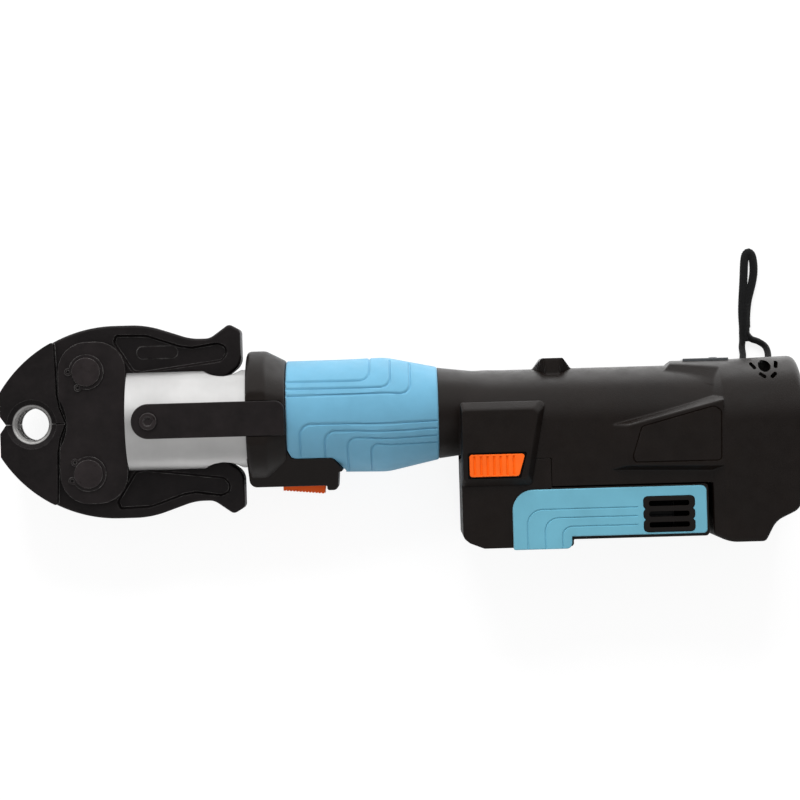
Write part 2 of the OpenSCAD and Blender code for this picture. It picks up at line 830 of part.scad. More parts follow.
module link_plate_near() {
    color("#2c2d30") plate();
}

module link_plate_far() {
    color("#2c2d30") mirror([0, 0, 1]) plate();
}

module pivot_pins() {
    pin_z = plate_z1 + clip_t + pin_end;
    color("#6b6d70") for (s = [-1, 1])
        translate([pivot_x, s * pivot_y, 0]) rotate_extrude($fn = round_facets) polygon([
            [0, -pin_z], [pivot_r, -pin_z], [pivot_r, -plate_z1 - clip_t],
            [clip_in, -plate_z1 - clip_t], [clip_in, -plate_z1], [pivot_r, -plate_z1],
            [pivot_r, plate_z1], [clip_in, plate_z1], [clip_in, plate_z1 + clip_t],
            [pivot_r, plate_z1 + clip_t], [pivot_r, pin_z], [0, pin_z],
        ]);
}

module clip() {
    gap = (2 * half_turn - clip_angle) / 2;
    difference() {
        union() {
            rotate([0, 0, gap]) rotate_extrude(angle = clip_angle, $fn = round_facets)
                translate([clip_in + shaft_fit, 0]) square([clip_r - clip_in - shaft_fit, clip_t]);
            for (s = [-1, 1]) rotate([0, 0, s * gap])
                rod_z(clip_ear_r, clip_r, s * clip_ear_r / 2, 0, clip_t);
        }
        for (s = [-1, 1]) rotate([0, 0, s * gap])
            rod_z(clip_hole_r, clip_r, s * clip_ear_r / 2, -over, clip_t + over);
    }
}

module pivot_clips() {
    color("#1d1e20") both_sides() {
        translate([pivot_x, pivot_y, plate_z1]) rotate([0, 0, clip_turn_upper]) clip();
        translate([pivot_x, -pivot_y, plate_z1]) rotate([0, 0, clip_turn_lower]) clip();
    }
}

module bow_spring() {
    color("#8d9093") translate([bow_x, 0, -bow_w / 2]) rotate([0, 0, bow_mouth / 2])
        rotate_extrude(angle = 2 * half_turn - bow_mouth, $fn = round_facets)
            translate([bow_r - bow_t, 0]) square([bow_t, bow_w]);
}

module yoke() {
    color("#b9bcc0") difference() {
        union() {
            rod_x(yoke_r, yoke_x0, yoke_x1);
            rod_x(spigot_r, yoke_x1 - over, yoke_x1 + spigot_len);
        }
        box([yoke_x0 - over, slot_x1], [-yoke_r - over, yoke_r + over], [-slot_w / 2, slot_w / 2]);
        rod_x(cavity_r, slot_x1 - cavity_r, cavity_x1 + over);
        rod_x(gland_r + fit, cavity_x1, yoke_x1 + spigot_len + over);
        for (s = [-1, 1])
            rod_z(scallop_r, scallop_x, s * (scallop_y + scallop_r), -yoke_r, yoke_r, round_facets);
        rod_z(keeper_r + shaft_fit, keeper_x, 0, -yoke_r - over, yoke_r + over, round_facets);
    }
}

module keeper_pin() {
    color("#5c5e62") difference() {
        rod_z(keeper_r, keeper_x, 0, keeper_z0, strap_z0, round_facets);
        rod_z(screw_r + fit, keeper_x, 0, strap_z0 - screw_len - over, strap_z0 + over);
    }
}

module pull_strap() {
    hw = strap_w / 2;
    color("#1b1c1e") difference() {
        union() {
            slab(rounded([
                [keeper_x, -hw, 0], [keeper_x + strap_len, -hw, strap_end_r],
                [keeper_x + strap_len, hw, strap_end_r], [keeper_x, hw, 0],
            ]), strap_z0, strap_z1);
            rod_z(hw, keeper_x, 0, strap_z0, strap_z1, round_facets);
        }
        rod_z(screw_r + fit, keeper_x, 0, strap_z0 - over, strap_z1 + over);
    }
}

module strap_screw() {
    color("#2a2b2d") difference() {
        union() {
            rod_z(strap_head_d / 2, keeper_x, 0, strap_z1, strap_z1 + strap_head_h);
            rod_z(screw_r, keeper_x, 0, strap_z0 - screw_len, strap_z1 + over);
        }
        translate([keeper_x, 0, strap_z1 + strap_head_h - hex_depth])
            cylinder(r = hex_r, h = hex_depth + over, $fn = hex_sides);
    }
}

module roller_fork() {
    color("#77797d") difference() {
        box([fork_x0, fork_x1], [-fork_half_h, fork_half_h], [-fork_hw, fork_hw]);
        box([fork_x0 - over, fork_x1 - fork_web], [-fork_half_h - over, fork_half_h + over],
            [-cheek_z0, cheek_z0]);
        rod_x(stub_r + fit, fork_x0, fork_x1 + over, small_facets);
        for (s = [-1, 1])
            rod_z(roller_pin_r + shaft_fit, roller_x, s * roller_y, -fork_hw - over, fork_hw + over);
    }
}

module drive_roller() {
    difference() {
        rod_z(roller_r, roller_x, roller_y, -roller_hw, roller_hw, round_facets);
        rod_z(roller_pin_r + shaft_fit, roller_x, roller_y, -roller_hw - over, roller_hw + over);
    }
}

module roller_upper() {
    color("#a9acb0") drive_roller();
}

module roller_lower() {
    color("#a9acb0") mirror([0, 1, 0]) drive_roller();
}

module roller_pins() {
    color("#8a8c90") for (s = [-1, 1])
        rod_z(roller_pin_r, roller_x, s * roller_y, -fork_hw, fork_hw);
}

module ram_cylinder() {
    color("#8f9296") turned([
        [rod_r + shaft_fit, cavity_x1], [gland_r, cavity_x1], [gland_r, bore_x0],
        [cylinder_r, bore_x0], [cylinder_r, bore_x1], [ram_bore_r, bore_x1],
        [ram_bore_r, bore_x0], [rod_r + shaft_fit, bore_x0],
    ]);
}

module ram_piston() {
    seal_x0 = (piston_x0 + piston_x1 - seal_w) / 2;
    color("#a4a7ab") turned([
        [0, fork_x1 - fork_web], [stub_r, fork_x1 - fork_web], [stub_r, fork_x1], [rod_r, fork_x1],
        [rod_r, piston_x0], [piston_r, piston_x0], [piston_r, seal_x0],
        [piston_r - seal_depth, seal_x0], [piston_r - seal_depth, seal_x0 + seal_w],
        [piston_r, seal_x0 + seal_w], [piston_r, piston_x1], [0, piston_x1],
    ]);
}

module piston_seal() {
    seal_x0 = (piston_x0 + piston_x1 - seal_w) / 2;
    color("#303234") turned([
        [piston_r - seal_depth + shaft_fit, seal_x0], [piston_r, seal_x0],
        [piston_r, seal_x0 + seal_w], [piston_r - seal_depth + shaft_fit, seal_x0 + seal_w],
    ]);
}

// Coil along X from x0 to x1 about the tool axis
module coil(r, wire, turns, x0, x1) {
    n = ceil(turns * spring_steps);
    route = [for (i = [0:n]) [x0 + wire / 2 + (x1 - x0 - wire) * i / n,
                              r * cos(2 * half_turn * turns * i / n),
                              r * sin(2 * half_turn * turns * i / n)]];
    tube(route, ring_shape(wire, wire, spring_sides), [1, 0, 0]);
}

module return_spring() {
    color("#9a9da1") coil(spring_r, spring_wire, spring_turns, bore_x0 + fit, piston_x0 - fit);
}

module pump_block() {
    color("#83868a") difference() {
        union() {
            rod_x(pump_flange_r, pump_x0, pump_x0 + pump_flange);
            rod_x(pump_r, pump_x0 + pump_flange - over, pump_x1);
        }
        rod_x(pump_pit_r, pump_pit_x0, pump_x1 + over);
        rod_x(crank_r + shaft_fit, pump_x0 + pump_flange, pump_pit_x0 + over);
        translate([cam_x0 + cam_w / 2, 0, 0]) rotate([90, 0, 0])
            cylinder(r = plunger_d / 2 + shaft_fit, h = pump_r + over, $fn = small_facets);
    }
}

module pump_plunger() {
    color("#b4b7bb") translate([cam_x0 + cam_w / 2, -plunger_tip, 0]) rotate([90, 0, 0])
        cylinder(r = plunger_d / 2, h = pump_r - plunger_tip, $fn = small_facets);
}

module oil_bladder() {
    b0 = pump_x0 + pump_flange + fit;
    b1 = pump_x1 - 2 * bladder_t;
    color("#222325") turned([
        [pump_r + bladder_gap, b0], [bladder_r, b0], [bladder_r, b1], [pump_r + bladder_gap, b1],
        [pump_r + bladder_gap, b1 - bladder_t], [bladder_r - bladder_t, b1 - bladder_t],
        [bladder_r - bladder_t, b0 + bladder_t], [pump_r + bladder_gap, b0 + bladder_t],
    ]);
}

module planet_carrier() {
    color("#94979b") {
        rod_x(crank_r, crank_x0, carrier_x0 + carrier_t, small_facets);
        translate([0, cam_throw, 0]) rod_x(cam_r, cam_x0, cam_x0 + cam_w, small_facets);
        rod_x(carrier_r, carrier_x0, carrier_x0 + carrier_t);
        for (k = [0:planets - 1]) rotate([2 * half_turn / planets * k, 0, 0])
            translate([0, gear_reach, 0])
                rod_x(planet_pin_r, carrier_x0 + carrier_t - over, gear_x1, small_facets);
    }
}

module crank_bearing() {
    color("#c0c3c7") translate([0, cam_throw, 0]) difference() {
        rod_x(ring_r, cam_x0, cam_x0 + cam_w, small_facets);
        rod_x(cam_r + shaft_fit, cam_x0 - over, cam_x0 + cam_w + over, small_facets);
    }
}

// A gear on the tool axis whose first tooth points along Y
module gear(z, bore) {
    rp = z * gear_module / 2;
    section(gear_x0, gear_x1) difference() {
        polygon(gear_outline(z, gear_module, rp - dedendum_share * gear_module,
                             rp + addendum_share * gear_module, -backlash));
        circle(r = bore, $fn = small_facets);
    }
}
module planet(k) {
    color("#9da0a4") rotate([2 * half_turn / planets * k, 0, 0]) translate([0, gear_reach, 0])
        rotate([half_turn / planet_teeth, 0, 0]) gear(planet_teeth, planet_pin_r + shaft_fit);
}

module planet_a() {
    planet(0);
}

module planet_b() {
    planet(1);
}

module planet_c() {
    planet(2);
}

module gear_case() {
    rp = ring_teeth * gear_module / 2;
    color("#6e7174") difference() {
        rod_x(case_r, case_x0, case_x1);
        rod_x(crank_r + shaft_fit, case_x0 - over, case_x1, small_facets);
        rod_x(carrier_r + run, case_x0 + case_wall, gear_x0);
        section(gear_x0 - over / 4, gear_x1 + over) rotate(half_turn / ring_teeth)
            polygon(gear_outline(ring_teeth, gear_module, rp - addendum_share * gear_module,
                                 rp + dedendum_share * gear_module, backlash));
        rod_x(case_void_r, gear_x1, case_x1 + over);
    }
}

module motor_can() {
    color("#9b9ea2") turned([
        [shaft_r + shaft_fit, motor_x0], [motor_r, motor_x0], [motor_r, motor_x1],
        [shaft_r + shaft_fit, motor_x1], [shaft_r + shaft_fit, motor_x1 - motor_wall],
        [motor_r - motor_wall, motor_x1 - motor_wall], [motor_r - motor_wall, motor_x0 + motor_wall],
        [shaft_r + shaft_fit, motor_x0 + motor_wall],
    ]);
}

module motor_rotor() {
    color("#7c5a3a") {
        gear(sun_teeth, shaft_r - over);
        rod_x(shaft_r, gear_x0 + over, motor_x1 + over, small_facets);
        rod_x(motor_r - motor_wall - armature_gap, motor_x0 + armature_end, motor_x1 - armature_end);
    }
}

// Side outline of the trigger guard below the collar
function guard_outline() = rounded([
    [collar_x0 - guard_toe, -guard_top, 0], [collar_x0 + guard_rake, -guard_y, soft_r],
    [trigger_x1 + run, -guard_y, 0], [trigger_x1 + run, -guard_y - guard_lug_drop, 0],
    [guard_x1, -guard_y - guard_lug_drop, edge_r], [guard_x1 + guard_rake, guard_heel - grip_mid_r, edge_r],
    [guard_x1 + guard_tail, guard_heel - grip_mid_r + guard_rake, 0],
    [guard_x1 - guard_cut, -guard_top, soft_r],
    [collar_x1 + guard_cut, -guard_top, soft_r], [collar_x1, guard_rise - guard_top, 0],
]);
module guard_form(slack) {
    intersection() {
        slab(guard_outline(), -guard_top_hw - slack, guard_top_hw + slack);
        section(collar_x0 - 3 * over, guard_x1 + 5 * over) polygon([
            [-guard_y - guard_lug_drop - over, -guard_hw - slack],
            [guard_flare - guard_top, -guard_top_hw - slack],
            [guard_flare - guard_top, guard_top_hw + slack], [-guard_y - guard_lug_drop - over,
            guard_hw + slack],
        ]);
    }
}

module front_collar() {
    bevel_x = collar_x0 + collar_flat;
    color("#232427") difference() {
        union() {
            intersection() {
                turned([
                    [spigot_r + fit, collar_x0], [collar_r - collar_edge, collar_x0],
                    [collar_r, collar_x0 + collar_edge], [collar_r, bevel_x],
                    [grip_front_r, collar_x1], [spigot_r + fit, collar_x1],
                ]);
                box([collar_x0, collar_x1], [-collar_r, collar_r], [-side_hw, side_hw]);
            }
            guard_form(0);
        }
        rod_x(collar_in, collar_x0 - 3 * over, yoke_x1 + fit);
        rod_x(spigot_r + fit, yoke_x1, collar_x1 + over);
        rod_x(grip_front_r - grip_t + fit, collar_x1, guard_x1 + 5 * over);
        box([trigger_x0 - run, trigger_x1 + run], [-guard_y - guard_lug_drop - over, -pocket_roof],
            [-trigger_hw - run, trigger_hw + run]);
        box([switch_x0 - fit, switch_x0 + switch_len + fit], [-pocket_roof - over, -guard_top],
            [-switch_hw - fit, switch_hw + fit]);
        rod_z(hinge_r + shaft_fit, hinge_x, hinge_y, -guard_top_hw, guard_top_hw);
        box([collar_x0 - over, collar_x1 + over], [-strap_w / 2 - run, strap_w / 2 + run],
            [collar_in - 2 * over, side_hw + over]);
    }
}

module trigger() {
    front = -guard_y - trigger_front;
    rear = -guard_y - trigger_drop;
    step = (trigger_len - trigger_rake) / trigger_teeth;
    rise = (rear - front) / trigger_teeth;
    color("#e2500f") difference() {
        slab(concat(
            [[trigger_x1, -trigger_top], [coil_x + coil_r + over, -trigger_top],
             [coil_x + coil_r + over, -trigger_top - over], [coil_x - coil_r - over, -trigger_top - over],
             [hinge_x, hinge_y + boss_r],
             [trigger_x0, hinge_y]],
            [for (k = [0:trigger_teeth - 1])
                each [[trigger_x0 + step * k, front + rise * k],
                      [trigger_x0 + step * (k + tooth_flat), front + rise * (k + tooth_flat)],
                      [trigger_x0 + step * (k + tooth_drop), front + rise * (k + tooth_drop) + tooth_depth],
                      [trigger_x0 + step * (k + tooth_foot),
                      front + rise * (k + tooth_foot) + tooth_depth]]],
            [[trigger_x1 - trigger_rake, rear]]
        ), -trigger_hw, trigger_hw);
        rod_z(hinge_r + shaft_fit, hinge_x, hinge_y, -trigger_hw - over, trigger_hw + over);
    }
}

module trigger_pin() {
    color("#9da0a4") rod_z(hinge_r, hinge_x, hinge_y, -trigger_hw - 3 * over, trigger_hw + 3 * over);
}

module trigger_spring() {
    top = -pocket_roof - fit;
    low = -trigger_top - over + fit;
    n = ceil(coil_turns * spring_steps);
    route = [for (i = [0:n]) [coil_x + (coil_r - coil_wire / 2) * cos(2 * half_turn * coil_turns * i / n),
                              low + coil_wire / 2 + (top - low - coil_wire) * i / n,
                              (coil_r - coil_wire / 2) * sin(2 * half_turn * coil_turns * i / n)]];
    color("#a5a8ac") tube(route, ring_shape(coil_wire, coil_wire, cord_sides), [0, 1, 0]);
}

module trigger_switch() {
    color("#1f2022") {
        box([switch_x0, switch_x0 + switch_len], [switch_y0, switch_y0 + switch_h],
            [-switch_hw, switch_hw]);
        translate([switch_x0 + switch_len / 2, switch_y0 + over, 0]) rotate([90, 0, 0])
            cylinder(r = plunger_r, h = over + plunger_drop, $fn = small_facets);
    }
}

// Grip form, as [radius, x] from front to rear, drawn in by inset
function grip_curve(inset) = concat(
    [[grip_front_r - inset, grip_x0]],
    corner([grip_front_r - inset, grip_x0],
           [grip_front_r - grip_front_dip - inset, grip_x0 + grip_front_share * grip_len, grip_bend],
           [grip_mid_r - inset, grip_x0 + grip_mid_share * grip_len]),
    corner([grip_front_r - grip_front_dip - inset, grip_x0 + grip_front_share * grip_len],
           [grip_mid_r - inset, grip_x0 + grip_mid_share * grip_len, grip_bend],
           [grip_rear_r - inset, grip_x1]),
    [[grip_rear_r - inset, grip_x1]]
);
function reversed(p) = [for (i = [len(p) - 1:-1:0]) p[i]];
module grip_form() {
    difference() {
        turned(concat(grip_curve(0), reversed(grip_curve(grip_t))));
        guard_form(fit);
    }
}

module grip_near() {
    color("#8cc4ea") near_half() grip_form();
}

module grip_far() {
    color("#8cc4ea") far_half() grip_form();
}

// Upside-down U section of the body, in the YZ plane
module arch(top, hw, low) {
    intersection() {
        union() {
            translate([top - hw, 0]) circle(r = hw, $fn = round_facets);
            translate([low, -hw]) square([top - hw - low, 2 * hw]);
        }
        translate([low, -hw - over]) square([top - low + over, 2 * (hw + over)]);
    }
}
module arch_slice(x, top, hw, low) {
    translate([x, 0, 0]) rotate([90, 0, 90]) linear_extrude(slice_t) {
        translate([top - hw, 0]) circle(r = hw, $fn = blend_facets);
        translate([low, -hw]) square([top - hw - low, 2 * hw]);
    }
}
function rear_outline() = rounded([
    [blend_x1 - slice_t, rear_top + over, 0], [rear_x1 - over, rear_top + over, round_r],
    [rear_x1 + rear_bulge, 0, wide_r], [rear_x1 - rear_cut[0][0], rear_cut[0][1] - rear_drop, rear_cut_r],
    [rear_x1 - rear_cut[1][0], rear_cut[1][1] - rear_drop, rear_cut_r],
    [rear_x1 - rear_cut[2][0], -rear_drop, rear_cut_r],
    [rear_void_x0, -rear_drop, rear_cut_r], [blend_x1 - slice_t, rear_heel_y, 0],
]);
module arrow_side() {
    low = [[arrow_x, arrow_top], [blend_x1, arrow_rise + arrow_lean], [blend_x1, arrow_low - arrow_lean],
           [arrow_x - arrow_lean, arrow_low]];
    high = [[arrow_x + arrow_ramp, arrow_top - arrow_foot], [blend_x1, arrow_rise - arrow_lift],
            [blend_x1, arrow_low + arrow_foot], [arrow_x + arrow_ramp - arrow_lean, arrow_low + arrow_foot]];
    hull() {
        slab(low, body_hw - 2 * over, body_hw - over);
        slab(high, side_hw - slice_t, side_hw);
    }
}
module housing_outer() {
    turned(concat(grip_curve(grip_t + tube_gap), [[0, grip_x1], [0, grip_x0]]));
    turned([[0, grip_x1 - 2 * over], [neck_in_r + over, grip_x1 - 2 * over],
            [neck_in_r + over, grip_x1 + fit], [neck_r0, grip_x1 + fit], [neck_r1, body_x0],
            [neck_r1, body_x0 + over], [0, body_x0 + over]]);
    section(body_x0, rear_x0 + slice_t) arch(body_top, body_hw, barrel_y);
    box([bay_x0, rear_x0 + slice_t], [bay_y, barrel_y + over], [-body_hw, body_hw]);
    hull() {
        arch_slice(rear_x0, body_top, body_hw, rear_foot_y);
        arch_slice(blend_x1, rear_top, side_hw, rear_heel_y);
    }
    intersection() {
        section(blend_x1, rear_x1 + over) arch(rear_top, side_hw, -rear_drop - over);
        slab(rear_outline(), -side_hw - over, side_hw + over);
    }
    both_sides() arrow_side();
    intersection() {
        section(pad_bridge_x0, blend_x1 + over) arch(rear_top, side_hw, 0);
        slab([[pad_bridge_x0, inner_top + over], [pad_bridge_x0, body_top - 2 * over],
              [pad_bridge_x0 + bridge_ramp, rear_top + over], [blend_x1 + over, rear_top + over],
              [blend_x1 + over, inner_top - bridge_sink]], -bridge_hw, bridge_hw);
    }
    slab([[hump_x - hump_base / 2, body_top - hump_lip], [hump_x - hump_crown / 2, body_top + hump_h],
          [hump_x + hump_crown / 2, body_top + hump_h], [hump_x + hump_base / 2, body_top - hump_lip],
          [hump_x + hump_base / 2, body_top - hump_sink], [hump_x - hump_base / 2, body_top - hump_sink]],
         -hump_hw, hump_hw);
}
module housing_void() {
    turned(concat([[0, grip_x0 - over], [grip_front_r - grip_t - tube_t, grip_x0 - over]],
                  grip_curve(grip_t + tube_gap + tube_t), [[0, grip_x1]]));
    rod_x(neck_in_r, grip_x1 - over, body_x0 + wall);
    section(body_x0 + wall - slice_t, rear_x1 - rear_wall) arch(inner_top, inner_hw, barrel_y + wall);
    box([bay_x0 + wall, rear_x1 - rear_wall], [bay_y + wall, barrel_y + wall + over],
        [-inner_hw, inner_hw]);
    box([rear_void_x0, rear_void_x1], [rear_void_y, bay_y + wall + over], [-inner_hw, inner_hw]);
}
module lanyard_holes() {
    both_sides() {
        rod_z(lanyard_hole_d / 2, lanyard_x, lanyard_y, lanyard_z, side_hw);
        for (s = lanyard_slots) translate([lanyard_x + s[0], lanyard_y + s[1], lanyard_z])
            rotate([0, 0, s[2]]) translate([-lanyard_slot_len / 2, -lanyard_slot_w / 2, 0])
                cube([lanyard_slot_len, lanyard_slot_w, side_hw]);
        box([lanyard_x - lanyard_run_hw, lanyard_x + lanyard_run_hw],
            [inner_top - 3 * over, lanyard_y + lanyard_run_up], [lanyard_z, lanyard_z + lanyard_run_depth]);
    }
}
module housing() {
    difference() {
        housing_outer();
        difference() {
            housing_void();
            for (s = screws) rod_z(boss_hole, s[0], s[1], -inner_hw - over, inner_hw + over);
        }
        lanyard_holes();
        guard_form(fit);
        box([switch_x0 - run, switch_x0 + switch_len + run], [-guard_y, -guard_top + over],
            [-switch_hw - run, switch_hw + run]);
        box([lens_x1 - lens_len - fit, lens_x1 + fit], [rear_top - lens_sink, rear_top + over],
            [-lens_hw - fit, lens_hw + fit]);
        box([term_x0 - fit, term_x0 + term_len + fit], [bay_y - over, bay_y + wall + over],
            [-term_hw - fit, term_hw + fit]);
        for (s = screws) {
            rod_z(screw_shank_r + screw_slack, s[0], s[1], s[2] - over, screw_reach + over);
            rod_z(screw_head_r + run, s[0], s[1], -side_hw - over, s[2]);
        }
    }
}

module housing_near() {
    color("#3a3a3d") near_half() housing();
}

module housing_far() {
    color("#3a3a3d") far_half() housing();
}

module housing_screws() {
    color("#8b8d91") for (s = screws) difference() {
        union() {
            rod_z(screw_shank_r, s[0], s[1], s[2] - over, screw_reach);
            rod_z(screw_head_r, s[0], s[1], s[2] - screw_head_h, s[2]);
        }
        translate([s[0], s[1], s[2] - screw_head_h - over])
            cylinder(r = screw_shank_r, h = 2 * over, $fn = hex_sides);
    }
}

module control_board() {
    y0 = bay_y + wall + fit;
    color("#1f5c3a") {
        box([board_x0, board_x1], [y0, y0 + board_t], [-board_hw, board_hw]);
        for (b = board_parts)
            box([board_x0 + b[0] * board_len, board_x0 + (b[0] + b[1]) * board_len],
                [y0 + board_t - over / 4, y0 + board_t + b[3]], [-b[2], b[2]]);
    }
}

module tool_terminals() {
    mid = term_x0 + term_len / 2;
    color("#c8a24a") {
        box([term_x0, term_x0 + term_len], [bay_y, bay_y + wall], [-term_hw, term_hw]);
        for (k = [0:blade_count - 1]) let (z = (k - (blade_count - 1) / 2) * blade_pitch)
            box([mid - blade_w / 2, mid + blade_w / 2], [bay_y - blade_len, bay_y + over],
                [z - blade_t / 2, z + blade_t / 2]);
    }
}

module indicator_lens() {
    color("#6a6d70") {
        box([lens_x1 - lens_len, lens_x1], [rear_top - lens_sink, rear_top + lens_h], [-lens_hw, lens_hw]);
        translate([lens_dome_x, rear_top + lens_h - over, 0]) rotate([-90, 0, 0])
            cylinder(r = lens_dome_r, h = lens_dome_h, $fn = small_facets);
    }
}

module lanyard_cord() {
    color("#1a1a1c") tube(fine(cord_route, 3), ring_shape(cord_d, cord_d, cord_sides), cord_up);
}

module lanyard_web() {
    color("#242427") tube(fine(web_route, 3), ring_shape(web_t, web_w, cord_sides), [0, 0, 1]);
}

module lanyard_crimp() {
    color("#131315") translate(crimp_at) rotate([90, 0, 0]) difference() {
        cylinder(r = crimp_r, h = crimp_len, center = true, $fn = small_facets);
        cylinder(r = crimp_r - over / 4, h = crimp_len + over, center = true, $fn = small_facets);
    }
}

// Battery forms
function nose_outline() = [
    [bat_x0, nose_top], [bat_x0, -nose_drop + nose_chamfer_y],
    [bat_x0 + nose_corner_x, -nose_drop + nose_chamfer_y / 2],
    [bat_x0 + nose_chamfer_x, -nose_drop], [foot_x1, -nose_drop],
    [foot_x1, -bat_drop], [bat_x1, -bat_drop], [bat_x1, lid_top], [nose_x1, lid_top],
    [nose_x1, nose_top],
];
function pad_outline() = rounded([
    [bat_x0, pad_top, 0], [pad_x1 - pad_round, pad_top, pad_r], [pad_low_x, pad_low, pad_r],
    [bat_x0, pad_low, 0],
]);
function pad_face_outline() = rounded([
    [bat_x0, pad_top - pad_bevel, 0], [pad_x1 - pad_bevel - pad_round, pad_top - pad_bevel, pad_r],
    [pad_low_x - pad_bevel + pad_round, pad_low + pad_bevel, pad_r], [bat_x0, pad_low + pad_bevel, 0],
]);
function button_outline(slack) = rounded([
    [button_x0 - slack, button_low - slack, edge_r], [button_low_x1 + slack, button_low - slack, edge_r],
    [button_top_x1 + slack, button_top + slack, edge_r], [button_x0 - slack, button_top + slack, edge_r],
]);
module pad_side() {
    hull() {
        slab(pad_outline(), body_hw - over, body_hw + run);
        slab(pad_face_outline(), side_hw - slice_t, side_hw);
    }
}

module battery_case() {
    color("#2f3033") difference() {
        union() {
            slab(nose_outline(), -body_hw, body_hw);
            both_sides() pad_side();
        }
        section(bat_x0 - over, pad_x1 + over) translate([nose_top, -body_hw - run])
            square([pad_top - nose_top + over, 2 * (body_hw + run)]);
        box([bat_x0 + bat_wall, nose_x1 - bat_wall], [-nose_drop + nose_chamfer_y, nose_top - bat_wall],
            [-body_hw + bat_wall, body_hw - bat_wall]);
        box([bat_x0 + bat_wall, bat_x1 - bat_wall], [-bat_drop + bat_wall, lid_top - lid_t],
            [-body_hw + bat_wall, body_hw - bat_wall]);
        box([nose_x1, bat_x1 - bat_wall], [lid_top - lid_t - over, lid_top + over],
            [-body_hw + bat_wall, body_hw - bat_wall]);
        both_sides() {
            slab(button_outline(run), button_pit_z, side_hw + over);
            for (k = [0:vent_slots - 1])
                box([vent_x0 + (vent_len - vent_slot_len) / 2, vent_x0 + (vent_len + vent_slot_len) / 2],
                    vent_span(k), [body_hw - bat_wall - over, body_hw + over]);
        }
    }
}
function vent_span(k) = let (y = (vent_y0 + vent_y1) / 2 + (k - (vent_slots - 1) / 2) * vent_pitch)
    [y - vent_slot_h / 2, y + vent_slot_h / 2];

module battery_lid() {
    mid = term_x0 + term_len / 2;
    color("#2a2b2e") difference() {
        box([nose_x1 + fit, bat_x1 - bat_wall - fit], [lid_top - lid_t, lid_top],
            [-body_hw + bat_wall + fit, body_hw - bat_wall - fit]);
        for (k = [0:blade_count - 1]) let (z = (k - (blade_count - 1) / 2) * blade_pitch)
            box([mid - blade_w / 2 - run, mid + blade_w / 2 + run], [lid_top - lid_t - over, lid_top + over],
                [z - blade_t / 2 - run, z + blade_t / 2 + run]);
    }
}

module battery_cells() {
    color("#3f7fb0") for (i = [0, 1], s = [-1, 1])
        translate([0, cell_y, s * (cell_d + cell_gap) / 2])
            rod_x(cell_d / 2, cell_x0 + i * (cell_len + cell_gap),
                cell_x0 + i * (cell_len + cell_gap) + cell_len,
                  small_facets);
}

module cell_straps() {
    x1 = cell_x0 + 2 * cell_len + cell_gap;
    color("#c9ccd0") {
        box([cell_x0 - strap_plate_t, cell_x0], [cell_y - strap_plate_w / 2, cell_y + strap_plate_w / 2],
            [-cell_d, cell_d]);
        box([x1, x1 + strap_plate_t], [cell_y - strap_plate_w / 2, cell_y + strap_plate_w / 2],
            [-cell_d, cell_d]);
    }
}

module panel() {
    difference() {
        slab(rounded([
            [foot_x0, panel_foot_y, edge_r], [foot_x1 - panel_foot_in, panel_foot_y, panel_foot_r],
            [foot_x1 - panel_foot_in, panel_low_y, 0], [panel_x1, panel_low_y, vent_corner],
            [panel_x1, panel_top, panel_foot_r], [foot_x0, panel_top, panel_big_r],
        ]), body_hw, body_hw + panel_t);
        box([vent_x0 - vent_gap, vent_x0 + vent_len + vent_gap], [vent_y0 - vent_gap, vent_y1 + vent_gap],
            [body_hw - over, body_hw + panel_t + over]);
    }
}

module panel_near() {
    color("#5fa8c4") panel();
}

module panel_far() {
    color("#5fa8c4") mirror([0, 0, 1]) panel();
}

module vent() {
    difference() {
        slab(rounded([
            [vent_x0, vent_y0, vent_corner], [vent_x0 + vent_len, vent_y0, vent_corner],
            [vent_x0 + vent_len, vent_y1, vent_corner], [vent_x0, vent_y1, vent_corner],
        ]), body_hw, body_hw + vent_t);
        for (k = [0:vent_slots - 1])
            box([vent_x0 + (vent_len - vent_slot_len) / 2, vent_x0 + (vent_len + vent_slot_len) / 2],
                vent_span(k), [body_hw - over, body_hw + vent_t + over]);
    }
}

module vent_near() {
    color("#1c1d1f") vent();
}

module vent_far() {
    color("#1c1d1f") mirror([0, 0, 1]) vent();
}

module button() {
    slab(button_outline(0), side_hw - button_inset - button_t, side_hw - button_inset);
}

module button_near() {
    color("#ff6a1a") button();
}

module button_far() {
    color("#ff6a1a") mirror([0, 0, 1]) button();
}

module leaf() {
    x = (button_x0 + button_low_x1) / 2;
    y = (button_top + button_low) / 2;
    z0 = button_pit_z + fit;
    z1 = side_hw - button_inset - button_t - fit;
    translate([0, y + leaf_w / 2, 0]) rotate([90, 0, 0]) linear_extrude(leaf_w) polygon([
        [x - leaf_len / 2, z0], [x - leaf_len / 2 + over, z0], [x, z1 - leaf_t],
        [x + leaf_len / 2 - over, z0], [x + leaf_len / 2, z0], [x + leaf_len / 2, z0 + leaf_t],
        [x, z1], [x - leaf_len / 2, z0 + leaf_t],
    ]);
}

module leaf_near() {
    color("#b0b3b7") leaf();
}

module leaf_far() {
    color("#b0b3b7") mirror([0, 0, 1]) leaf();
}

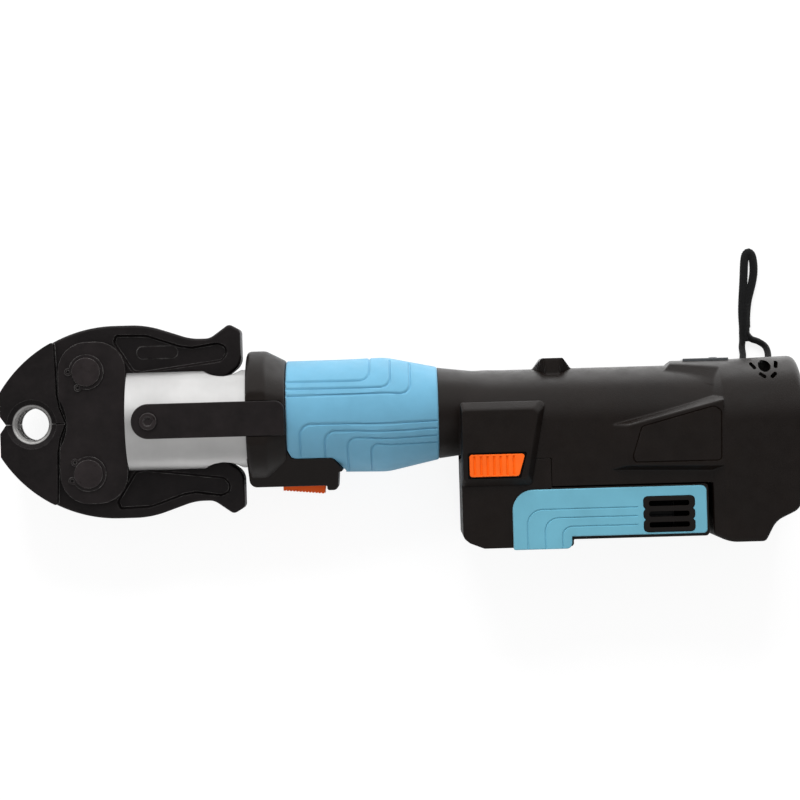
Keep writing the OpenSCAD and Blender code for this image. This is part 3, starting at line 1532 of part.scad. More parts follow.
jaw_upper();
jaw_lower();
link_plate_near();
link_plate_far();
pivot_pins();
pivot_clips();
bow_spring();
yoke();
keeper_pin();
pull_strap();
strap_screw();
roller_fork();
roller_upper();
roller_lower();
roller_pins();
ram_cylinder();
ram_piston();
piston_seal();
return_spring();
pump_block();
pump_plunger();
oil_bladder();
planet_carrier();
crank_bearing();
planet_a();
planet_b();
planet_c();
gear_case();
motor_can();
motor_rotor();
front_collar();
trigger();
trigger_pin();
trigger_spring();
trigger_switch();
grip_near();
grip_far();
housing_near();
housing_far();
housing_screws();
control_board();
tool_terminals();
indicator_lens();
lanyard_cord();
lanyard_web();
lanyard_crimp();
battery_case();
battery_lid();
battery_cells();
cell_straps();
panel_near();
panel_far();
vent_near();
vent_far();
button_near();
button_far();
leaf_near();
leaf_far();
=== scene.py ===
"""Dressed model of a battery pipe press tool, laid out as an add-on and run as a script."""

from math import acos, cos, hypot, pi, radians, sin, sqrt

import bmesh
import bpy
import numpy as np
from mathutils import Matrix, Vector


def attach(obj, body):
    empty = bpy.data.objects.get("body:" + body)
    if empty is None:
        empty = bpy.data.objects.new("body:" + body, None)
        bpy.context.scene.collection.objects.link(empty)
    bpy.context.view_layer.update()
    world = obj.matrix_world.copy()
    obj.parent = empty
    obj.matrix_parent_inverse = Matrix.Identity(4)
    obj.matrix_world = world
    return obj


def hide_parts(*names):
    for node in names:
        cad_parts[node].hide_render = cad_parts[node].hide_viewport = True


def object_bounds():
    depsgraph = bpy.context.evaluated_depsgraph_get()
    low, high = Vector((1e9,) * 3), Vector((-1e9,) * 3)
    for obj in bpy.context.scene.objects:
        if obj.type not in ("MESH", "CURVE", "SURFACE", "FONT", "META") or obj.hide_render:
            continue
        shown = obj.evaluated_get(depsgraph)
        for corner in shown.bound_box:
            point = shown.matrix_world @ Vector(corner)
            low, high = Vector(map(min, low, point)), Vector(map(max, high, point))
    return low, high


bl_info = {
    "name": "Press tool",
    "version": (1, 0, 0),
    "blender": (4, 5, 0),
    "location": "View3D > Sidebar > Press tool",
    "description": "Dresses the solid model of a battery pipe press tool",
    "category": "Object",
}

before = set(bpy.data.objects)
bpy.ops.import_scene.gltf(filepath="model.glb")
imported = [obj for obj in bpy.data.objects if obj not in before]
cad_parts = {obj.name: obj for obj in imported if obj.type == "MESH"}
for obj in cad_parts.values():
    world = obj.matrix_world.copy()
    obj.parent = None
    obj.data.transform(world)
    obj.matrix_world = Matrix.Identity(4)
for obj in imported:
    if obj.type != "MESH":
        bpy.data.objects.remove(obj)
CAD_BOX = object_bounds()
MM = 0.001
SAME_HEIGHT = 1e-7
REST_Z = CAD_BOX[0][2]


# Plane outlines, in millimetres

def arc_corner(a, b, c, r, steps=8):
    """Points that round the corner b between a and c with radius r."""
    if r <= 0:
        return [tuple(b[:2])]
    a, b, c = Vector(a[:2]), Vector(b[:2]), Vector(c[:2])
    u, v = (a - b).normalized(), (c - b).normalized()
    half = u.angle(v) / 2
    if half > pi / 2 - 0.01:
        return [tuple(b)]
    reach = r / abs(sin(half) / cos(half))
    reach = min(reach, (a - b).length * 0.49, (c - b).length * 0.49)
    r = reach * sin(half) / cos(half)
    mid = b + (u + v).normalized() * (r / sin(half))
    p, q = b + u * reach - mid, b + v * reach - mid
    turn = p.angle_signed(q)
    points = []
    for k in range(steps + 1):
        t = -turn * k / steps
        points.append((mid.x + p.x * cos(t) - p.y * sin(t), mid.y + p.x * sin(t) + p.y * cos(t)))
    return points


def rounded(points, steps=8):
    """Closed outline whose points are (x, y, radius)."""
    out = []
    for k, p in enumerate(points):
        out += arc_corner(points[k - 1], p, points[(k + 1) % len(points)], p[2], steps)
    return out


def bent(points, steps=8):
    """Open line whose inner points are (x, y, radius)."""
    out = [tuple(points[0][:2])]
    for k in range(1, len(points) - 1):
        out += arc_corner(points[k - 1], points[k], points[k + 1], points[k][2], steps)
    return out + [tuple(points[-1][:2])]


def ring(x, y, r, count=40):
    """Points of a circle."""
    return [(x + r * cos(2 * pi * k / count), y + r * sin(2 * pi * k / count))
            for k in range(count)]


def box(x0, y0, x1, y1, r=0):
    """Rectangle with its corners rounded by r."""
    return rounded([(x0, y0, r), (x1, y0, r), (x1, y1, r), (x0, y1, r)])


def offset(outline, d):
    """The outline moved out by d."""
    n = len(outline)
    area = sum(outline[k - 1][0] * outline[k][1] - outline[k][0] * outline[k - 1][1]
               for k in range(n))
    side = d if area > 0 else -d
    moved = []
    for k, (x, y) in enumerate(outline):
        a, b = outline[k - 1], outline[(k + 1) % n]
        run = hypot(b[0] - a[0], b[1] - a[1])
        moved.append((x + side * (b[1] - a[1]) / run, y - side * (b[0] - a[0]) / run))
    return moved


def between(low, high, t):
    """The outline at share t of the way from low to high."""
    return [(a[0] + (b[0] - a[0]) * t, a[1] + (b[1] - a[1]) * t) for a, b in zip(low, high)]


# Meshes

def sharpened(piece, angle=35):
    """Smooth shading with the steep edges kept."""
    piece.data.shade_smooth()
    piece.data.set_sharp_from_angle(angle=radians(angle))
    return piece


def added(name, mesh):
    """A new object in the scene."""
    piece = bpy.data.objects.new(name, mesh)
    bpy.context.collection.objects.link(piece)
    return piece


def shell(name, points, faces, angle=35):
    """A mesh object from points in millimetres."""
    mesh = bpy.data.meshes.new(name)
    mesh.from_pydata([(x * MM, y * MM, z * MM) for x, y, z in points], [], faces)
    mesh.validate()
    work = bmesh.new()
    work.from_mesh(mesh)
    bmesh.ops.recalc_face_normals(work, faces=work.faces)
    work.to_mesh(mesh)
    work.free()
    return sharpened(added(name, mesh), angle)


def bands(rows, count, closed=False):
    """Faces between rings of points, the last ring joined to the first where closed."""
    faces = []
    for k in range(rows if closed else rows - 1):
        n = (k + 1) % rows
        for q in range(count):
            t = (q + 1) % count
            faces.append((k * count + q, k * count + t, n * count + t, n * count + q))
    return faces


def ends(rows, count):
    """Faces that close the first and the last ring."""
    last = (rows - 1) * count
    return [tuple(range(count))[::-1], tuple(range(last, last + count))]


def plate(name, outline, z0, z1, edge=0.0, steps=3, both=False):
    """An outline raised from z0 to z1 with a rounded edge at z1, or at both faces."""
    n = len(outline)
    points = [(x, y, z) for z in (z0, z1) for x, y in outline]
    piece = shell(name, points, ends(2, n) + bands(2, n))
    if edge > 0:
        work = bmesh.new()
        work.from_mesh(piece.data)
        rim = [e for e in work.edges for z in ((z0, z1) if both else (z1,))
               if all(abs(v.co.z - z * MM) < SAME_HEIGHT for v in e.verts)]
        bmesh.ops.bevel(work, geom=rim, offset=edge * MM, segments=steps, profile=0.5,
                        affect="EDGES", clamp_overlap=False)
        work.to_mesh(piece.data)
        work.free()
        sharpened(piece)
    return piece


def tiers(name, loops):
    """A closed form through outlines of equal count, each with its height."""
    count = len(loops[0][0])
    points = [(x, y, z) for outline, z in loops for x, y in outline]
    first, last = ends(len(loops), count)
    return shell(name, points, [first] + bands(len(loops), count) + [last])


def spun(name, profile, count=72):
    """A closed form turned about Z, from its radii and heights."""
    return tiers(name, [(ring(0, 0, r, count), z) for r, z in profile])


def bar_x(name, r, x0, x1, count=96):
    """A round bar along the tool."""
    bar = spun(name, ((r, x0), (r, x1)), count)
    for v in bar.data.vertices:
        v.co = (v.co.z, v.co.x, v.co.y)
    return bar


def groove_cutter(line, z, half, closed=False):
    """A square bar on edge along a line at height z, for a V groove."""
    points = []
    count = len(line)
    for k, (x, y) in enumerate(line):
        a = line[k - 1] if closed else line[max(k - 1, 0)]
        b = line[(k + 1) % count] if closed else line[min(k + 1, count - 1)]
        along = Vector((b[0] - a[0], b[1] - a[1])).normalized()
        side = Vector((-along.y, along.x)) * half
        points += [(x + side.x, y + side.y, z), (x, y, z + half),
                   (x - side.x, y - side.y, z), (x, y, z - half)]
    return shell("groove", points, bands(count, 4, closed) + ([] if closed else ends(count, 4)))


def mirrored(piece, name):
    """A copy of a piece on the far side of the tool."""
    mesh = piece.data.copy()
    for v in mesh.vertices:
        v.co.z = -v.co.z
    mesh.flip_normals()
    mesh.name = name
    return added(name, mesh)


def carve(piece, *cutters):
    """Cuts pieces out of another and removes them."""
    for cutter in cutters:
        cut = piece.modifiers.new("cut", "BOOLEAN")
        cut.operation = "DIFFERENCE"
        cut.solver = "EXACT"
        cut.object = cutter
    graph = bpy.context.evaluated_depsgraph_get()
    mesh = bpy.data.meshes.new_from_object(piece.evaluated_get(graph))
    piece.modifiers.clear()
    piece.data = mesh
    for cutter in cutters:
        bpy.data.objects.remove(cutter, do_unlink=True)
    return piece


def merged(name, pieces, angle=35):
    """Several pieces as one mesh."""
    work = bmesh.new()
    for piece in pieces:
        work.from_mesh(piece.data)
    mesh = bpy.data.meshes.new(name)
    work.to_mesh(mesh)
    work.free()
    for piece in pieces:
        bpy.data.objects.remove(piece, do_unlink=True)
    return sharpened(added(name, mesh), angle)


# Moulded forms, as distances from their surface in millimetres

def meet(a, b, k):
    """Where both forms are, with the edge rounded over k."""
    h = np.clip(0.5 - 0.5 * (b - a) / k, 0, 1)
    return b + (a - b) * h + k * h * (1 - h)


def join(a, b, k):
    """Both forms together, with the corner filled over k."""
    return -meet(-a, -b, k)


def arched(y, z, top, hw):
    """Upside-down U with its crown at top."""
    return np.where(y > top - hw, np.hypot(y - top + hw, z), z) - hw


def beside(x, y, a, b):
    """Distance to the right of the line from a to b."""
    run, rise = b[0] - a[0], b[1] - a[1]
    return ((x - a[0]) * rise - (y - a[1]) * run) / hypot(run, rise)


def facet(x, y, z, a, b, c):
    """Distance above the plane through three points."""
    n = np.cross(np.subtract(b, a), np.subtract(c, a))
    n = n / np.linalg.norm(n) * np.sign(n[2])
    return (x - a[0]) * n[0] + (y - a[1]) * n[1] + (z - a[2]) * n[2]


# The housing: its end face as x over y, lines of (x, y) and planes of (x, y, z)

END_Y = (-72.0, -54.8, -32.2, -5.6, 19.8, 33.0)
END_X = (406.1, 407.7, 409.8, 411.6, 410.4, 409.8)
END_TIP = max(END_X)
LEAN_X = 396
NECK_X, NECK_END, NECK_R, NECK_TAPER = 217.8, 252, 24.5, 0.125
BODY_X, BODY_END, BODY_TOP, BODY_HALF = 231.3, 395, 22.2, 28
BODY_FLOOR, STEP_X, STEP_FLOOR = -25.3, 276.4, -40.5
REAR_X, REAR_TOP, REAR_HALF, REAR_FLOOR = 361.15, 24.6, 33, -72.2
ARROW_END, ARROW_LOW = 368, 20
HUMP_X, HUMP_TOP, HUMP_FACE, HUMP_HALF, HUMP_LOW = 279.35, 27.8, 12.6, 5.65, 15
CUT_HIGH = (393.75, -61.6), (408.4, -54.8)
CUT_LOW = (388.15, -72.2), (393.75, -61.6)
REAR_BEVEL = (361.15, -68.3), (369.15, -72.2)
RISE = (366.35, 6.6, 25.1), (309.45, -8.5, 27.9), (343.0, -2.8, 33.0)
RAMP = (309.45, -8.5, 28.0), (307.85, -32.6, 28.0), (316.5, -20.0, 33.0)
FOOT = (307.85, -32.6, 28.0), (366.35, -34.2, 28.0), (340.0, -30.8, 33.0)
BRIDGE = (345.0, 22.0, 11.5), (347.7, 15.3, 17.1), (362.5, 15.55, 19.0)
BRIDGE_FRONT = (339.55, 20.2, 1.08, 0.68)
BRIDGE_FOOT = (347.7, 15.3, 0.278, 0.96)
SHOULDER_X, SHOULDER_RUN, SHOULDER_DROP = 246, 15, 4.0
SHOULDER_Y, SHOULDER_TALL = -30, 20
CREST_X, CREST_SLOPE, NOSE_X, NOSE_SLOPE = 372, 0.03, 368.2, 0.7
HUMP_LEAN, HUMP_SPREAD, HUMP_SCALE = 0.05, 0.83, 0.77
FLANK_HALF, FLANK_DROP, FLANK_LEAN, FLANK_SCALE = 5.7, 0.294, 0.645, 0.8
CAST_REACH, CAST_STEPS = 110, 28


def lean(x, y):
    """How far the rows of the housing bend back to lie along its end face."""
    share = np.clip((x - LEAN_X) / (END_TIP - LEAN_X), 0, 1)
    return (np.interp(y, END_Y, END_X) - END_TIP) * share


def housing_form(x, y, z):
    """The housing's outer form."""
    neck = np.hypot(y, z) - (NECK_R - NECK_TAPER * (x - NECK_X))
    neck = np.maximum(neck, x - NECK_END)
    floor = join(BODY_FLOOR - y, meet(STEP_X - x, STEP_FLOOR - y, 0.4), 0.4)
    shrink = SHOULDER_DROP * np.clip((SHOULDER_X - x) / SHOULDER_RUN, 0, 1) ** 2
    shrink = shrink * np.clip((y - SHOULDER_Y) / SHOULDER_TALL, 0, 1)
    body = meet(arched(y, z, BODY_TOP, BODY_HALF) + shrink, floor, 0.4)
    body = np.maximum(meet(body, BODY_X - x, 1.0), x - BODY_END)
    end = x - np.interp(y, END_Y, END_X)
    cut = join(beside(x, y, *CUT_HIGH), beside(x, y, *CUT_LOW), 2.5)
    rear = arched(y, z, REAR_TOP + CREST_SLOPE * np.maximum(x - CREST_X, 0), REAR_HALF)
    rear = rear + np.maximum(NOSE_X - x, 0) * NOSE_SLOPE
    rear = meet(rear, meet(REAR_FLOOR - y, beside(x, y, *REAR_BEVEL), 2.0), 1.5)
    rear = meet(meet(meet(rear, cut, 1.5), end, 4.5), REAR_X - x, 0.8)
    arrow = meet(meet(z - REAR_HALF, facet(x, y, z, *RISE), 0.4), facet(x, y, z, *FOOT), 0.5)
    arrow = meet(meet(arrow, facet(x, y, z, *RAMP), 0.8), x - ARROW_END, 1.0)
    arrow = np.maximum(arrow, ARROW_LOW - z)
    bridge = meet(arched(y, z, REAR_TOP, REAR_HALF), facet(x, y, z, *BRIDGE), 0.5)
    start, low, slope, scale = BRIDGE_FRONT
    bridge = meet(bridge, (y - low - (x - start) * slope) * scale, 0.5)
    start, low, slope, scale = BRIDGE_FOOT
    bridge = meet(bridge, x - ARROW_END, 0.5)
    bridge = meet(bridge, (low - (x - start) * slope - y) * scale, 0.6)
    aside = np.abs(x - HUMP_X)
    drop = HUMP_TOP - y
    hump = meet(z - HUMP_FACE - drop * HUMP_LEAN, -drop, 0.4)
    hump = meet(hump, (aside - HUMP_HALF - drop * HUMP_SPREAD) * HUMP_SCALE, 0.4)
    flank = aside - FLANK_HALF + drop * FLANK_DROP - (HUMP_FACE - z) * FLANK_LEAN
    flank = flank * FLANK_SCALE
    hump = np.maximum(meet(hump, flank, 0.4), HUMP_LOW - y)
    form = join(join(neck, body, 2.5), rear, 0.5)
    form = join(join(form, arrow, 0.4), bridge, 0.5)
    return join(form, hump, 0.6)


def cast(form, xs, turns, centre, bend):
    """Points where rays from a line along the tool leave a form, one bent row for each x."""
    x, t = xs[:, None], turns[None, :]
    low = np.zeros((len(xs), len(turns)))
    high = low + CAST_REACH
    for _ in range(CAST_STEPS):
        mid = (low + high) / 2
        y = centre + mid * np.cos(t)
        inside = form(x + bend(x, y), y, mid * np.sin(t)) < 0
        low, high = np.where(inside, mid, low), np.where(inside, high, mid)
    y = centre + low * np.cos(t)
    return np.stack([x + bend(x, y), y, low * np.sin(t)], -1)


def walled(name, outer, inner, angle=40):
    """A closed wall between two sheets of points with equal rows."""
    n, m = outer.shape[:2]
    size = n * m
    faces = []
    for i in range(n - 1):
        for j in range(m - 1):
            a, d = i * m + j, (i + 1) * m + j
            b, c = a + 1, d + 1
            faces += [(a, b, c, d), (size + d, size + c, size + b, size + a)]
        for j in (0, m - 1):
            a, d = i * m + j, (i + 1) * m + j
            faces.append((a, d, size + d, size + a))
    for j in range(m - 1):
        for i in (0, n - 1):
            a = i * m + j
            faces.append((a, a + 1, size + a + 1, size + a))
    points = np.concatenate([outer, inner]).reshape(-1, 3)
    return shell(name, [tuple(p) for p in points], faces, angle)


def smooth_route(route, fine=4):
    """Points of a smooth line through a route."""
    out = []
    last = len(route) - 1
    for k in range(last):
        a, b = route[max(k - 1, 0)], route[k]
        c, d = route[k + 1], route[min(k + 2, last)]
        for s in range(fine):
            t = s / fine
            out.append(tuple(
                0.5 * (2 * b[i] + (c[i] - a[i]) * t
                       + (2 * a[i] - 5 * b[i] + 4 * c[i] - d[i]) * t * t
                       + (3 * b[i] - a[i] - 3 * c[i] + d[i]) * t ** 3)
                for i in range(3)))
    return out + [tuple(route[-1])]


def run_length(line):
    """Length of a line of points."""
    return sum((Vector(b) - Vector(a)).length for a, b in zip(line, line[1:]))


def even_route(line, step):
    """The same line with points a step apart."""
    total = run_length(line)
    count = max(2, round(total / step))
    out, k, gone = [Vector(line[0])], 0, 0.0
    for s in range(1, count):
        want = total * s / count
        while gone + (Vector(line[k + 1]) - Vector(line[k])).length < want:
            gone += (Vector(line[k + 1]) - Vector(line[k])).length
            k += 1
        a, b = Vector(line[k]), Vector(line[k + 1])
        out.append(a.lerp(b, (want - gone) / (b - a).length))
    return out + [Vector(line[-1])]


def braid(name, line, half_w, half_t, up, pitch, relief, sides=24):
    """A woven strand along a line, with crossing ribs raised on its face."""
    line = even_route(line, pitch / 8)
    points = []
    gone = 0.0
    for k, p in enumerate(line):
        along = (line[min(k + 1, len(line) - 1)] - line[max(k - 1, 0)]).normalized()
        flat = Vector(up).cross(along).normalized()
        high = along.cross(flat).normalized()
        if k:
            gone += (p - line[k - 1]).length
        for s in range(sides):
            turn = 2 * pi * s / sides
            phase = 2 * pi * gone / pitch
            wave = sin(phase + 2 * turn) * sin(phase - 2 * turn)
            grow = 1 - relief * (0.5 - 0.5 * wave)
            q = p + flat * (cos(turn) * half_t * grow) + high * (sin(turn) * half_w * grow)
            points.append(tuple(q))
    return shell(name, points, bands(len(line), sides) + ends(len(line), sides), 60)


# Solids and pieces

SHALLOW_EDGE = radians(38)
EASED_EDGE = radians(28)
FLAT_EDGE = radians(0.4)
WELD_REACH = 0.000004


def edge_smoothing():
    """The shared modifier group that smooths shallow edges and keeps sharp ones."""
    group = bpy.data.node_groups.get("edge_smoothing")
    if group:
        return group
    group = bpy.data.node_groups.new("edge_smoothing", "GeometryNodeTree")
    for way in ("INPUT", "OUTPUT"):
        group.interface.new_socket("Geometry", in_out=way, socket_type="NodeSocketGeometry")
    start = wired(group, "NodeGroupInput").outputs["Geometry"]
    clear = wired(group, "GeometryNodeRemoveAttribute", {
        "Geometry": start, "Name": "custom_normal"}).outputs["Geometry"]
    faces = wired(group, "GeometryNodeSetShadeSmooth", {"Geometry": clear}).outputs["Geometry"]
    angle = wired(group, "GeometryNodeInputMeshEdgeAngle").outputs["Unsigned Angle"]
    shallow = wired(group, "FunctionNodeCompare", {"A": angle, "B": SHALLOW_EDGE},
                    data_type="FLOAT", operation="LESS_EQUAL").outputs["Result"]
    edges = wired(group, "GeometryNodeSetShadeSmooth", {
        "Geometry": faces, "Shade Smooth": shallow}, domain="EDGE").outputs["Geometry"]
    wired(group, "NodeGroupOutput", {"Geometry": edges})
    return group


def weigh(thing):
    """Keeps broad faces flat in the shading."""
    thing.modifiers.new("weigh", "WEIGHTED_NORMAL").keep_sharp = True


def dress(node, finish, width=0.0, segments=2):
    """Finishes a solid and rounds its sharp edges by modifiers alone."""
    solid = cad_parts[node]
    solid.modifiers.new("weld", "WELD").merge_threshold = WELD_REACH
    if width > 0:
        flat = solid.modifiers.new("flats", "DECIMATE")
        flat.decimate_type = "DISSOLVE"
        flat.angle_limit = FLAT_EDGE
        rim = solid.modifiers.new("edges", "BEVEL")
        rim.width = width * MM
        rim.segments = segments
        rim.limit_method = "ANGLE"
        rim.angle_limit = EASED_EDGE
        rim.use_clamp_overlap = False
        rim.miter_outer = "MITER_ARC"
    solid.modifiers.new("smooth", "NODES").node_group = edge_smoothing()
    if width > 0:
        weigh(solid)
    for slot in solid.material_slots:
        slot.link = "OBJECT"
        slot.material = finishes()[finish]


def place(piece, body, finish, slot, node):
    """Finishes a new piece, hangs it on its body and hides the solid it stands for."""
    piece.data.materials.clear()
    piece.data.materials.append(finishes()[finish])
    weigh(piece)
    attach(piece, body)
    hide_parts(node)


def place_both(near, stem, finish, slot, bodies):
    """Places a near piece and its twin on the far side."""
    far = mirrored(near, stem + "_skin_far")
    place(near, bodies[0], finish, slot, stem + "_near")
    place(far, bodies[1], finish, slot, stem + "_far")


# Finishes

def wired(tree, kind, inputs=None, **settings):
    """A new node, with sockets linked and numbers set on its inputs."""
    made = tree.nodes.new(kind)
    for key, value in settings.items():
        setattr(made, key, value)
    for key, value in (inputs or {}).items():
        if isinstance(value, bpy.types.NodeSocket):
            tree.links.new(value, made.inputs[key])
        else:
            made.inputs[key].default_value = value
    return made


class Finish:
    """Builds one procedural material."""

    def __init__(self, name, colour, rough, metal=0.0, specular=0.5):
        self.material = bpy.data.materials.new(name)
        self.material.use_nodes = True
        self.tree = self.material.node_tree
        self.shader = self.tree.nodes["Principled BSDF"]
        for key, value in (("Base Color", (*colour, 1)), ("Roughness", rough),
                           ("Metallic", metal), ("Specular IOR Level", specular)):
            self.shader.inputs[key].default_value = value
        self.place = self.node("ShaderNodeTexCoord").outputs["Object"]

    def node(self, kind, inputs=None, **settings):
        return wired(self.tree, kind, inputs, **settings)

    def feed(self, key, source):
        """Links a source to an input of the shader."""
        self.tree.links.new(source, self.shader.inputs[key])

    def stretched(self, scale):
        """Object coordinates scaled along each axis."""
        made = self.node("ShaderNodeMapping", {"Scale": scale, "Vector": self.place})
        return made.outputs["Vector"]

    def noise(self, scale, detail=2.0, rough=0.5, place=None):
        made = self.node("ShaderNodeTexNoise", {
            "Scale": scale, "Detail": detail, "Roughness": rough, "Vector": place or self.place})
        return made.outputs["Fac"]

    def ramp(self, source, low, high, a, b):
        """A colour from a at low to b at high."""
        made = self.node("ShaderNodeValToRGB", {"Fac": source})
        for stop, at, colour in zip(made.color_ramp.elements, (low, high), (a, b)):
            stop.position = at
            stop.color = (*colour, 1)
        return made.outputs["Color"]

    def span(self, source, low, high, a, b):
        """A number from a at low to b at high."""
        made = self.node("ShaderNodeMapRange", {
            "Value": source, "From Min": low, "From Max": high, "To Min": a, "To Max": b})
        return made.outputs["Result"]

    def blend(self, amount, a, b):
        """Colour a where amount is 0 and b where it is 1."""
        made = self.node("ShaderNodeMix", {"Factor": amount}, data_type="RGBA")
        for key, value in (("A", a), ("B", b)):
            socket = [s for s in made.inputs if s.name == key and s.type == "RGBA"][0]
            if isinstance(value, tuple):
                socket.default_value = (*value, 1)
            else:
                self.tree.links.new(value, socket)
        return [s for s in made.outputs if s.type == "RGBA"][0]

    def maths(self, operation, a, b):
        return self.node("ShaderNodeMath", {0: a, 1: b}, operation=operation).outputs[0]

    def times(self, a, b):
        return self.maths("MULTIPLY", a, b)

    def edges(self, radius, low, high):
        """1 along sharp edges, 0 on flat faces."""
        soft = self.node("ShaderNodeBevel", {"Radius": radius}, samples=6).outputs["Normal"]
        true = self.node("ShaderNodeNewGeometry").outputs["Normal"]
        dot = self.node("ShaderNodeVectorMath", {0: soft, 1: true}, operation="DOT_PRODUCT")
        return self.span(dot.outputs["Value"], high, low, 0.0, 1.0)

    def raise_by(self, source, strength, distance):
        """Bumps the surface."""
        made = self.node("ShaderNodeBump", {
            "Height": source, "Strength": strength, "Distance": distance})
        self.feed("Normal", made.outputs["Normal"])

    def set_colour(self, source):
        self.feed("Base Color", source)

    def set_rough(self, source):
        self.feed("Roughness", source)


def shade(colour, factor):
    """A lighter or darker copy of a colour."""
    return tuple(min(1.0, c * factor) for c in colour)


def moulded_plastic(name, colour, rough=0.38, grain=1500, depth=0.6, specular=0.27):
    """Spark-textured moulded plastic with faint scuffs."""
    f = Finish(name, colour, rough, specular=specular)
    cloud = f.noise(38, 3, 0.6)
    base = f.ramp(cloud, 0.35, 0.7, shade(colour, 0.86), shade(colour, 1.16))
    worn = f.times(f.edges(0.0009, 0.72, 0.93), f.noise(220, 2, 0.6))
    f.set_colour(f.blend(worn, base, shade(colour, 2.6)))
    f.set_rough(f.span(f.noise(130, 3, 0.6), 0.3, 0.7, rough - 0.07, rough + 0.08))
    f.raise_by(f.noise(grain, 2, 0.6), depth, 0.00012)
    return f.material


def soft_rubber(name, colour, rough=0.58):
    """Fine matt moulded rubber."""
    f = Finish(name, colour, rough, specular=0.55)
    cloud = f.noise(55, 4, 0.6)
    base = f.ramp(cloud, 0.3, 0.75, shade(colour, 0.93), shade(colour, 1.06))
    f.set_colour(base)
    f.set_rough(f.span(f.noise(160, 3, 0.6), 0.3, 0.7, rough - 0.06, rough + 0.07))
    f.raise_by(f.noise(3200, 2, 0.6), 0.22, 0.0001)
    f.shader.inputs["Sheen Weight"].default_value = 0.15
    return f.material


OXIDE_METAL = 0.55
WORN_STEEL_AND_HIGHLIGHT = (0.34, 0.33, 0.32)
BARE_STEEL = (0.62, 0.61, 0.6)
BORE_FADE = 0.0006


def oxide_steel(name, colour, rough, bump, edge_bare_and_lit, bore=0.0):
    """Blackened steel, bare along its worn edges, which also carry a painted edge highlight, and
    inside a bore about the object's Z.
    """
    f = Finish(name, colour, rough, metal=OXIDE_METAL, specular=0.4)
    cloud = f.noise(70, 5, 0.65)
    base = f.ramp(cloud, 0.3, 0.72, shade(colour, 0.7), shade(colour, 1.45))
    # Lighter edges: partly real wear to bare steel, partly a painted highlight standing in for
    # light catching the rims.
    bare_and_lit_spots = f.span(f.noise(260, 3, 0.7), 0.36, 0.66, 0.06, edge_bare_and_lit)
    tone = f.blend(f.times(f.edges(0.001, 0.75, 0.95), bare_and_lit_spots), base, WORN_STEEL_AND_HIGHLIGHT)
    if bore:
        reach = f.node("ShaderNodeVectorMath", {0: f.stretched((1, 1, 0))}, operation="LENGTH")
        bare = f.span(reach.outputs["Value"], bore, bore + BORE_FADE, 1.0, 0.0)
        tone = f.blend(bare, tone, BARE_STEEL)
        f.feed("Metallic", f.span(bare, 0.0, 1.0, OXIDE_METAL, 1.0))
    f.set_colour(tone)
    f.set_rough(f.span(f.noise(420, 3, 0.65), 0.3, 0.7, rough - 0.1, rough + 0.1))
    f.raise_by(f.noise(640, 4, 0.65), bump, 0.00025)
    return f.material


def turned_steel(name, colour, rough, scale, metal=1.0):
    """Bright steel with fine tool marks."""
    f = Finish(name, colour, rough, metal=metal)
    lines = f.noise(1.0, 3, 0.7, f.stretched(scale))
    cloud = f.noise(40, 3, 0.6)
    f.set_colour(f.blend(f.span(cloud, 0.3, 0.7, 0.0, 1.0),
                         shade(colour, 0.9), shade(colour, 1.05)))
    f.set_rough(f.span(lines, 0.3, 0.7, rough - 0.07, rough + 0.09))
    f.raise_by(lines, 0.18, 0.00006)
    f.shader.inputs["Anisotropic"].default_value = 0.35
    return f.material


def woven_cord(name, colour):
    """Dark woven thread."""
    f = Finish(name, colour, 0.75, specular=0.25)
    thread = f.noise(1800, 3, 0.7)
    f.set_colour(f.ramp(thread, 0.35, 0.7, shade(colour, 0.5), shade(colour, 1.9)))
    f.raise_by(thread, 0.5, 0.0002)
    f.shader.inputs["Sheen Weight"].default_value = 0.08
    return f.material


def smoked_lens(name, colour):
    """Smoky clear plastic."""
    f = Finish(name, colour, 0.16, specular=0.5)
    f.set_colour(f.ramp(f.noise(90, 2, 0.5), 0.3, 0.7, shade(colour, 0.8), shade(colour, 1.2)))
    f.set_rough(f.span(f.noise(300, 3, 0.6), 0.3, 0.7, 0.1, 0.24))
    f.raise_by(f.noise(900, 2, 0.5), 0.05, 0.00005)
    f.shader.inputs["Coat Weight"].default_value = 0.4
    return f.material


FINISHES = {}


